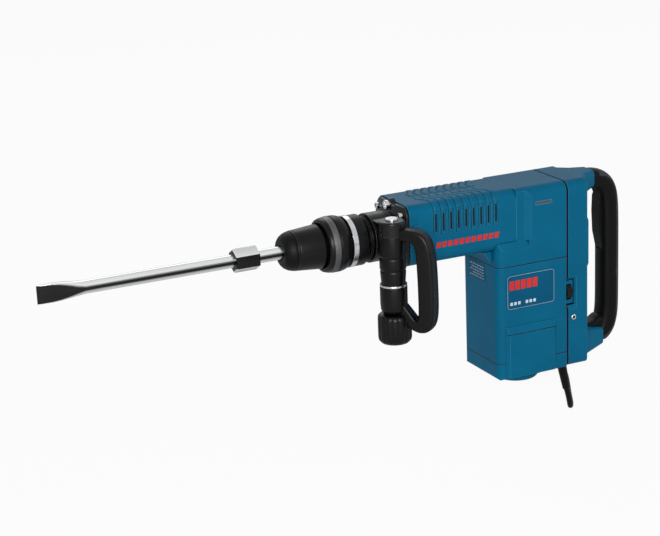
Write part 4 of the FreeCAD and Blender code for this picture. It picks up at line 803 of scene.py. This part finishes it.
# A rib's way up the side, round the corner and over the top: y, z, shift in x, and height.
RIB_PATH = [(-46.0, 33.0, 0.0, 0.0), (-46.0, 35.0, 0.0, 0.8)]
RIB_PATH += [(BARREL_ROUND - BARREL_SIDE - BARREL_ROUND * math.cos(math.radians(a)),
              BARREL_TOP - BARREL_ROUND + BARREL_ROUND * math.sin(math.radians(a)), 0.0, 0.9)
             for a in range(10, 91, 10)]
RIB_PATH += [(-27.0, 46.0, 0.0, 0.9), (-15.0, 46.0, -9.0, 0.9), (-4.0, 46.0, -9.0, 0.9),
             (-2.5, 46.0, -9.0, 0.0)]


def rib_normal(y, z):
    """The way out of the barrel's side, round corner or top at (y, z)."""
    flat = Vector((0.0, min(0.0, y + BARREL_SIDE - BARREL_ROUND),
                   max(0.0, z - BARREL_TOP + BARREL_ROUND)))
    return flat.normalized()


def make_ribs():
    """Raised ribs over the barrel's top between its grooves, and black strips in its slots as
    painted shade.
    """
    ribs = []
    slot_shades = []
    for i in range(VENT_COUNT):
        x = VENT_FIRST + VENT_PITCH * i
        rings = []
        for y, z, shift, rise in RIB_PATH:
            out = rib_normal(y, z)
            foot = Vector((0.0, y, z)) - out * 0.4
            head = Vector((0.0, y, z)) + out * rise
            rings.append([(x + shift - 1.2, foot.y, foot.z), (x + shift + 0.4, head.y, head.z),
                          (x + shift + 6.0, head.y, head.z), (x + shift + 7.4, foot.y, foot.z)])
        ribs.append(closed_loft(rings))
        slot_shades.append(slab(slanted(x + SLOT_SHADE[0], x + SLOT_SHADE[1], *SLOT_SHADE[2:], 0.0),
                            *SLOT_SHADE_DEPTH))
    ribbing = mesh_piece("barrel_ribs", both_sides(ribs), BLUE, "housing",
                         bevel=0.25)
    outward(ribbing)
    slot_shade_strips = mesh_piece("vent_slot_shade", both_sides(slot_shades), BLACK, "housing",
                         bevel=0.1)
    outward(slot_shade_strips)


SEAM_LEVELS = (-61.4, -203.2)    # under the gear housing and over the bottom cap
SEAM_HALF = 0.4
BODY_SIDE = 50.5
BODY_BACK = 111.4
BODY_CORNERS = [12.0, 0.5, 0.5, 12.0]
SEAM_PROUD = 0.06
SEAM_DEEP = 1.5
# A black strip under each brush cover's top bevel is a painted shadow.
COVER_SHADOW_LINE = (12.6, 91.2, -160.4, -159.5)         # x and z limits of the line on each cover
COVER_SHADOW_DEPTH = (-55.07, -54.6)


def make_seams():
    """The dark joints of the gear housing, motor housing and bottom cap, and a painted shadow line
    under the top bevel of each brush cover.
    """
    side, inside = BODY_SIDE + SEAM_PROUD, BODY_SIDE - SEAM_DEEP
    outer = rounded_outline(-SEAM_PROUD, BODY_BACK, -side, side, BODY_CORNERS)
    inner = rounded_outline(SEAM_DEEP, BODY_BACK - 1.4, -inside, inside, [10.5, 0.5, 0.5, 10.5])
    joints = [frame_band(outer, inner, z - SEAM_HALF, z + SEAM_HALF, lambda x, y, h: (x, y, h))
              for z in SEAM_LEVELS]
    piece = mesh_piece("housing_joints", joints, BLACK, "housing")
    outward(piece)
    # Painted shadow: a black line under each brush cover's top bevel.
    line = [slab(slanted(*COVER_SHADOW_LINE, 0.0), *COVER_SHADOW_DEPTH)]
    under = mesh_piece("cover_shadow_lines", both_sides(line), BLACK, "housing")
    outward(under)


RECESS_FLOOR = (111.9, 124.6, -133.0, -99.0)      # x and z limits
WHEEL_SLOT = (112.7, 121.3, -127.6, -104.4)
RECESS_DEPTH = (-46.2, -44.9)
LAMP = (122.7, -153.0)                            # x and z of the lamp's axis
LAMP_PROFILE = [(-52.1, 2.1), (-52.1, 3.0), (-51.6, 3.9), (-50.9, 3.9), (-50.9, 2.1)]


def make_wheel_surround():
    """The recess's floor round the speed wheel's slot, and the lamp's ring below it."""
    left, right, low, high = RECESS_FLOOR
    x0, x1, z0, z1 = WHEEL_SLOT
    strips = [(left, x0, low, high), (x1, right, low, high), (x0, x1, z1, high),
              (x0, x1, low, z0)]
    floor = [slab(slanted(*strip, 0.0), *RECESS_DEPTH) for strip in strips]
    piece = mesh_piece("wheel_surround", floor, BLUE, "housing", bevel=0.3)
    outward(piece)
    points, loops = turned(LAMP_PROFILE, 40)
    placed = [(LAMP[0] + y, x, LAMP[1] + z) for x, y, z in points]
    rim = mesh_piece("lamp_ring", [(placed, loops)], BRIGHT, "housing", bevel=0.1)
    outward(rim)


REAR_PLATE = (-47.0, 47.0, -84.0, -11.0)          # y and z limits
REAR_PLATE_X = (145.6, 150.2, 151.4)              # front, where the chamfer starts, and back
REAR_CHAMFER = 1.4


def make_rear_plate():
    y0, y1, z0, z1 = REAR_PLATE
    front, turn, back = REAR_PLATE_X
    outline = rounded_outline(y0, y1, z0, z1, [6.0] * 4)
    inset = rounded_outline(y0 + REAR_CHAMFER, y1 - REAR_CHAMFER, z0 + REAR_CHAMFER,
                            z1 - REAR_CHAMFER, [5.0] * 4)
    rings = [[(x, y, z) for y, z in outline] for x in (front, turn)]
    rings.append([(back, y, z) for y, z in inset])
    cover = mesh_piece("rear_plate_cover", [closed_loft(rings)], BLUE, "housing",
                       bevel=0.4)
    outward(cover)
    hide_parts("rear_plate")


# Stations along the fillet under the upper arm: x, its underside and its half width.
FILLET_STATIONS = [(145.4, -8.0, 43.0), (147.6, 3.0, 40.0), (150.6, 9.5, 36.0),
                   (155.0, 14.0, 31.0), (161.0, 17.2, 26.0), (168.0, 19.2, 21.0),
                   (176.0, 20.2, 16.6)]


FILLET_TOP = 28.0


def make_arm_fillet():
    rings = []
    for x, low, half in FILLET_STATIONS:
        middle, tall = (FILLET_TOP + low) / 2, (FILLET_TOP - low) / 2
        rings.append(squircle((x, 0, middle), (0, half, 0), (0, 0, tall), 5.0, 32))
    fillet = mesh_piece("upper_arm_fillet", [closed_loft(rings)], BLUE, "housing",
                        subdivide=1)
    outward(fillet)


make_arm_fillet()
make_ribs()
make_seams()
make_wheel_surround()
make_rear_plate()


# ---- cord -----------------------------------------------------------------------------------
CORD_R = 4.25
GROUND = -320.0
LEAD_Z = GROUND + CORD_R
BOOT_END = (143.0, 0.0, -281.0)
ROUTE = [
    BOOT_END,
    (146.5, 0.0, -292.5),
    (149.5, 1.5, -303.5),
    (155.0, 7.5, LEAD_Z),
    (165.0, 22.5, LEAD_Z),
    (181.0, 52.0, LEAD_Z),
    (203.0, 90.0, LEAD_Z),
    (223.5, 127.0, LEAD_Z),
    (236.0, 155.0, LEAD_Z),
    (240.5, 182.0, LEAD_Z),
    (240.5, 208.0, LEAD_Z),
]
COIL = (186.0, 216.0)
COIL_OUTER = 54.6
COIL_LAYERS = [(54.6, 0), (54.6, 1), (54.6, 2), (54.6, 3), (46.0, 3), (46.0, 2), (46.0, 1),
               (46.0, 0), (37.4, 0), (37.4, 1), (37.4, 2), (28.8, 2), (28.8, 1), (28.8, 2),
               (37.4, 3)]      # radius and row of each turn
ROW = 8.6
TURN_STEPS = 16
PLUG_TAIL = (COIL[0] + 46.0, COIL[1] + 42.0, GROUND + 49.5)


def coil_points():
    """The coil's turns: each keeps its radius and row, and steps to the next in its last part."""
    points = []
    radius, row = COIL_OUTER, 0
    start = math.radians(-2.0)
    for turn, (next_radius, next_row) in enumerate(COIL_LAYERS):
        for step in range(TURN_STEPS):
            share = min(1.0, step / 5.0)
            share = share * share * (3 - 2 * share)
            r = radius + (next_radius - radius) * share
            z = LEAD_Z + ROW * (row + (next_row - row) * share)
            a = start + 2 * math.pi * (turn + (step + 0.5) / TURN_STEPS)
            points.append((COIL[0] + r * math.cos(a), COIL[1] + r * math.sin(a), z))
        radius, row = next_radius, next_row
    return points


def curve_of(name, points, radius):
    data = bpy.data.curves.new(name, "CURVE")
    data.dimensions = "3D"
    data.bevel_depth = radius * MM
    data.bevel_resolution = 4
    data.resolution_u = 6
    data.use_fill_caps = True
    spline = data.splines.new("NURBS")
    spline.points.add(len(points) - 1)
    for point, place in zip(spline.points, points):
        point.co = (*at(*place), 1.0)
    spline.order_u = 3
    spline.use_endpoint_u = True
    return data


def make_cord():
    tail = [(COIL[0] + 44.0, COIL[1] + 4.0, GROUND + 37.0),
            (COIL[0] + 54.0, COIL[1] + 14.0, GROUND + 44.0),
            (COIL[0] + 61.0, COIL[1] + 29.0, GROUND + 49.0),
            (COIL[0] + 56.0, COIL[1] + 40.0, GROUND + 49.5),
            PLUG_TAIL]
    data = curve_of("mains_lead", ROUTE + coil_points() + tail, CORD_R)
    lead = add_piece("mains_lead", data, CORD, "housing")
    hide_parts("cord_lead", "cord_coil")


make_cord()


# ---- light and floor ------------------------------------------------------------------------
def area_light(name, place, target, size, power):
    data = bpy.data.lights.new(name, "AREA")
    data.size = size
    data.energy = power
    light = bpy.data.objects.new(name, data)
    light.location = place
    light.rotation_mode = "QUATERNION"
    light.rotation_quaternion = (Vector(target) - Vector(place)).to_track_quat("-Z", "Y")
    bpy.context.scene.collection.objects.link(light)


SKY_LEVEL = 0.36
SKY_IN_GLOSS = 0.75


def make_studio():
    middle = at(-150.0, 0.0, -60.0)
    area_light("key", middle + Vector((-1.1, -2.45, 1.0)), middle, 1.3, 66.0)
    area_light("fill", middle + Vector((2.4, -1.4, 0.8)), middle, 1.2, 6.0)
    area_light("back", middle + Vector((0.6, 2.4, 1.8)), middle, 1.6, 12.0)
    world = bpy.data.worlds.new("studio")
    bpy.context.scene.world = world
    world.use_nodes = True
    world.node_tree.nodes["Background"].inputs["Color"].default_value = (0.96, 0.98, 1.0, 1.0)
    sky = world.node_tree.nodes["Background"]
    path = world.node_tree.nodes.new("ShaderNodeLightPath")
    level = world.node_tree.nodes.new("ShaderNodeMapRange")
    level.inputs["To Min"].default_value = SKY_LEVEL
    level.inputs["To Max"].default_value = SKY_IN_GLOSS
    world.node_tree.links.new(path.outputs["Is Glossy Ray"], level.inputs["Value"])
    world.node_tree.links.new(level.outputs["Result"], sky.inputs["Strength"])


def make_floor():
    reach = 30.0
    z = at(0, 0, GROUND).z
    corners = [(-reach, -reach, z), (reach, -reach, z), (reach, reach, z), (-reach, reach, z)]
    floor = bpy.data.objects.new("floor", mesh_from("floor", corners, [(0, 1, 2, 3)]))
    m = Shader("pale_floor")
    nodes = m.tree.nodes
    m.surface.inputs["Base Color"].default_value = (0.82, 0.82, 0.82, 1.0)
    m.surface.inputs["Roughness"].default_value = 0.9
    path = m.add("ShaderNodeLightPath")
    both = m.add("ShaderNodeMath", operation="MAXIMUM")
    m.link(path.outputs["Is Camera Ray"], both.inputs[0])
    m.link(path.outputs["Is Transmission Ray"], both.inputs[1])
    white = m.add("ShaderNodeEmission")
    white.inputs["Strength"].default_value = 1.0
    mixed = m.add("ShaderNodeMixShader")
    share = m.spread(both.outputs[0], 0.0, 1.0, 0.0, 0.93)
    m.link(share, mixed.inputs["Fac"])
    m.link(m.surface.outputs[0], mixed.inputs[1])
    m.link(white.outputs[0], mixed.inputs[2])
    m.link(mixed.outputs[0], nodes["Material Output"].inputs["Surface"])
    floor.data.materials.append(m.material)
    bpy.context.scene.collection.objects.link(floor)


make_studio()
make_floor()
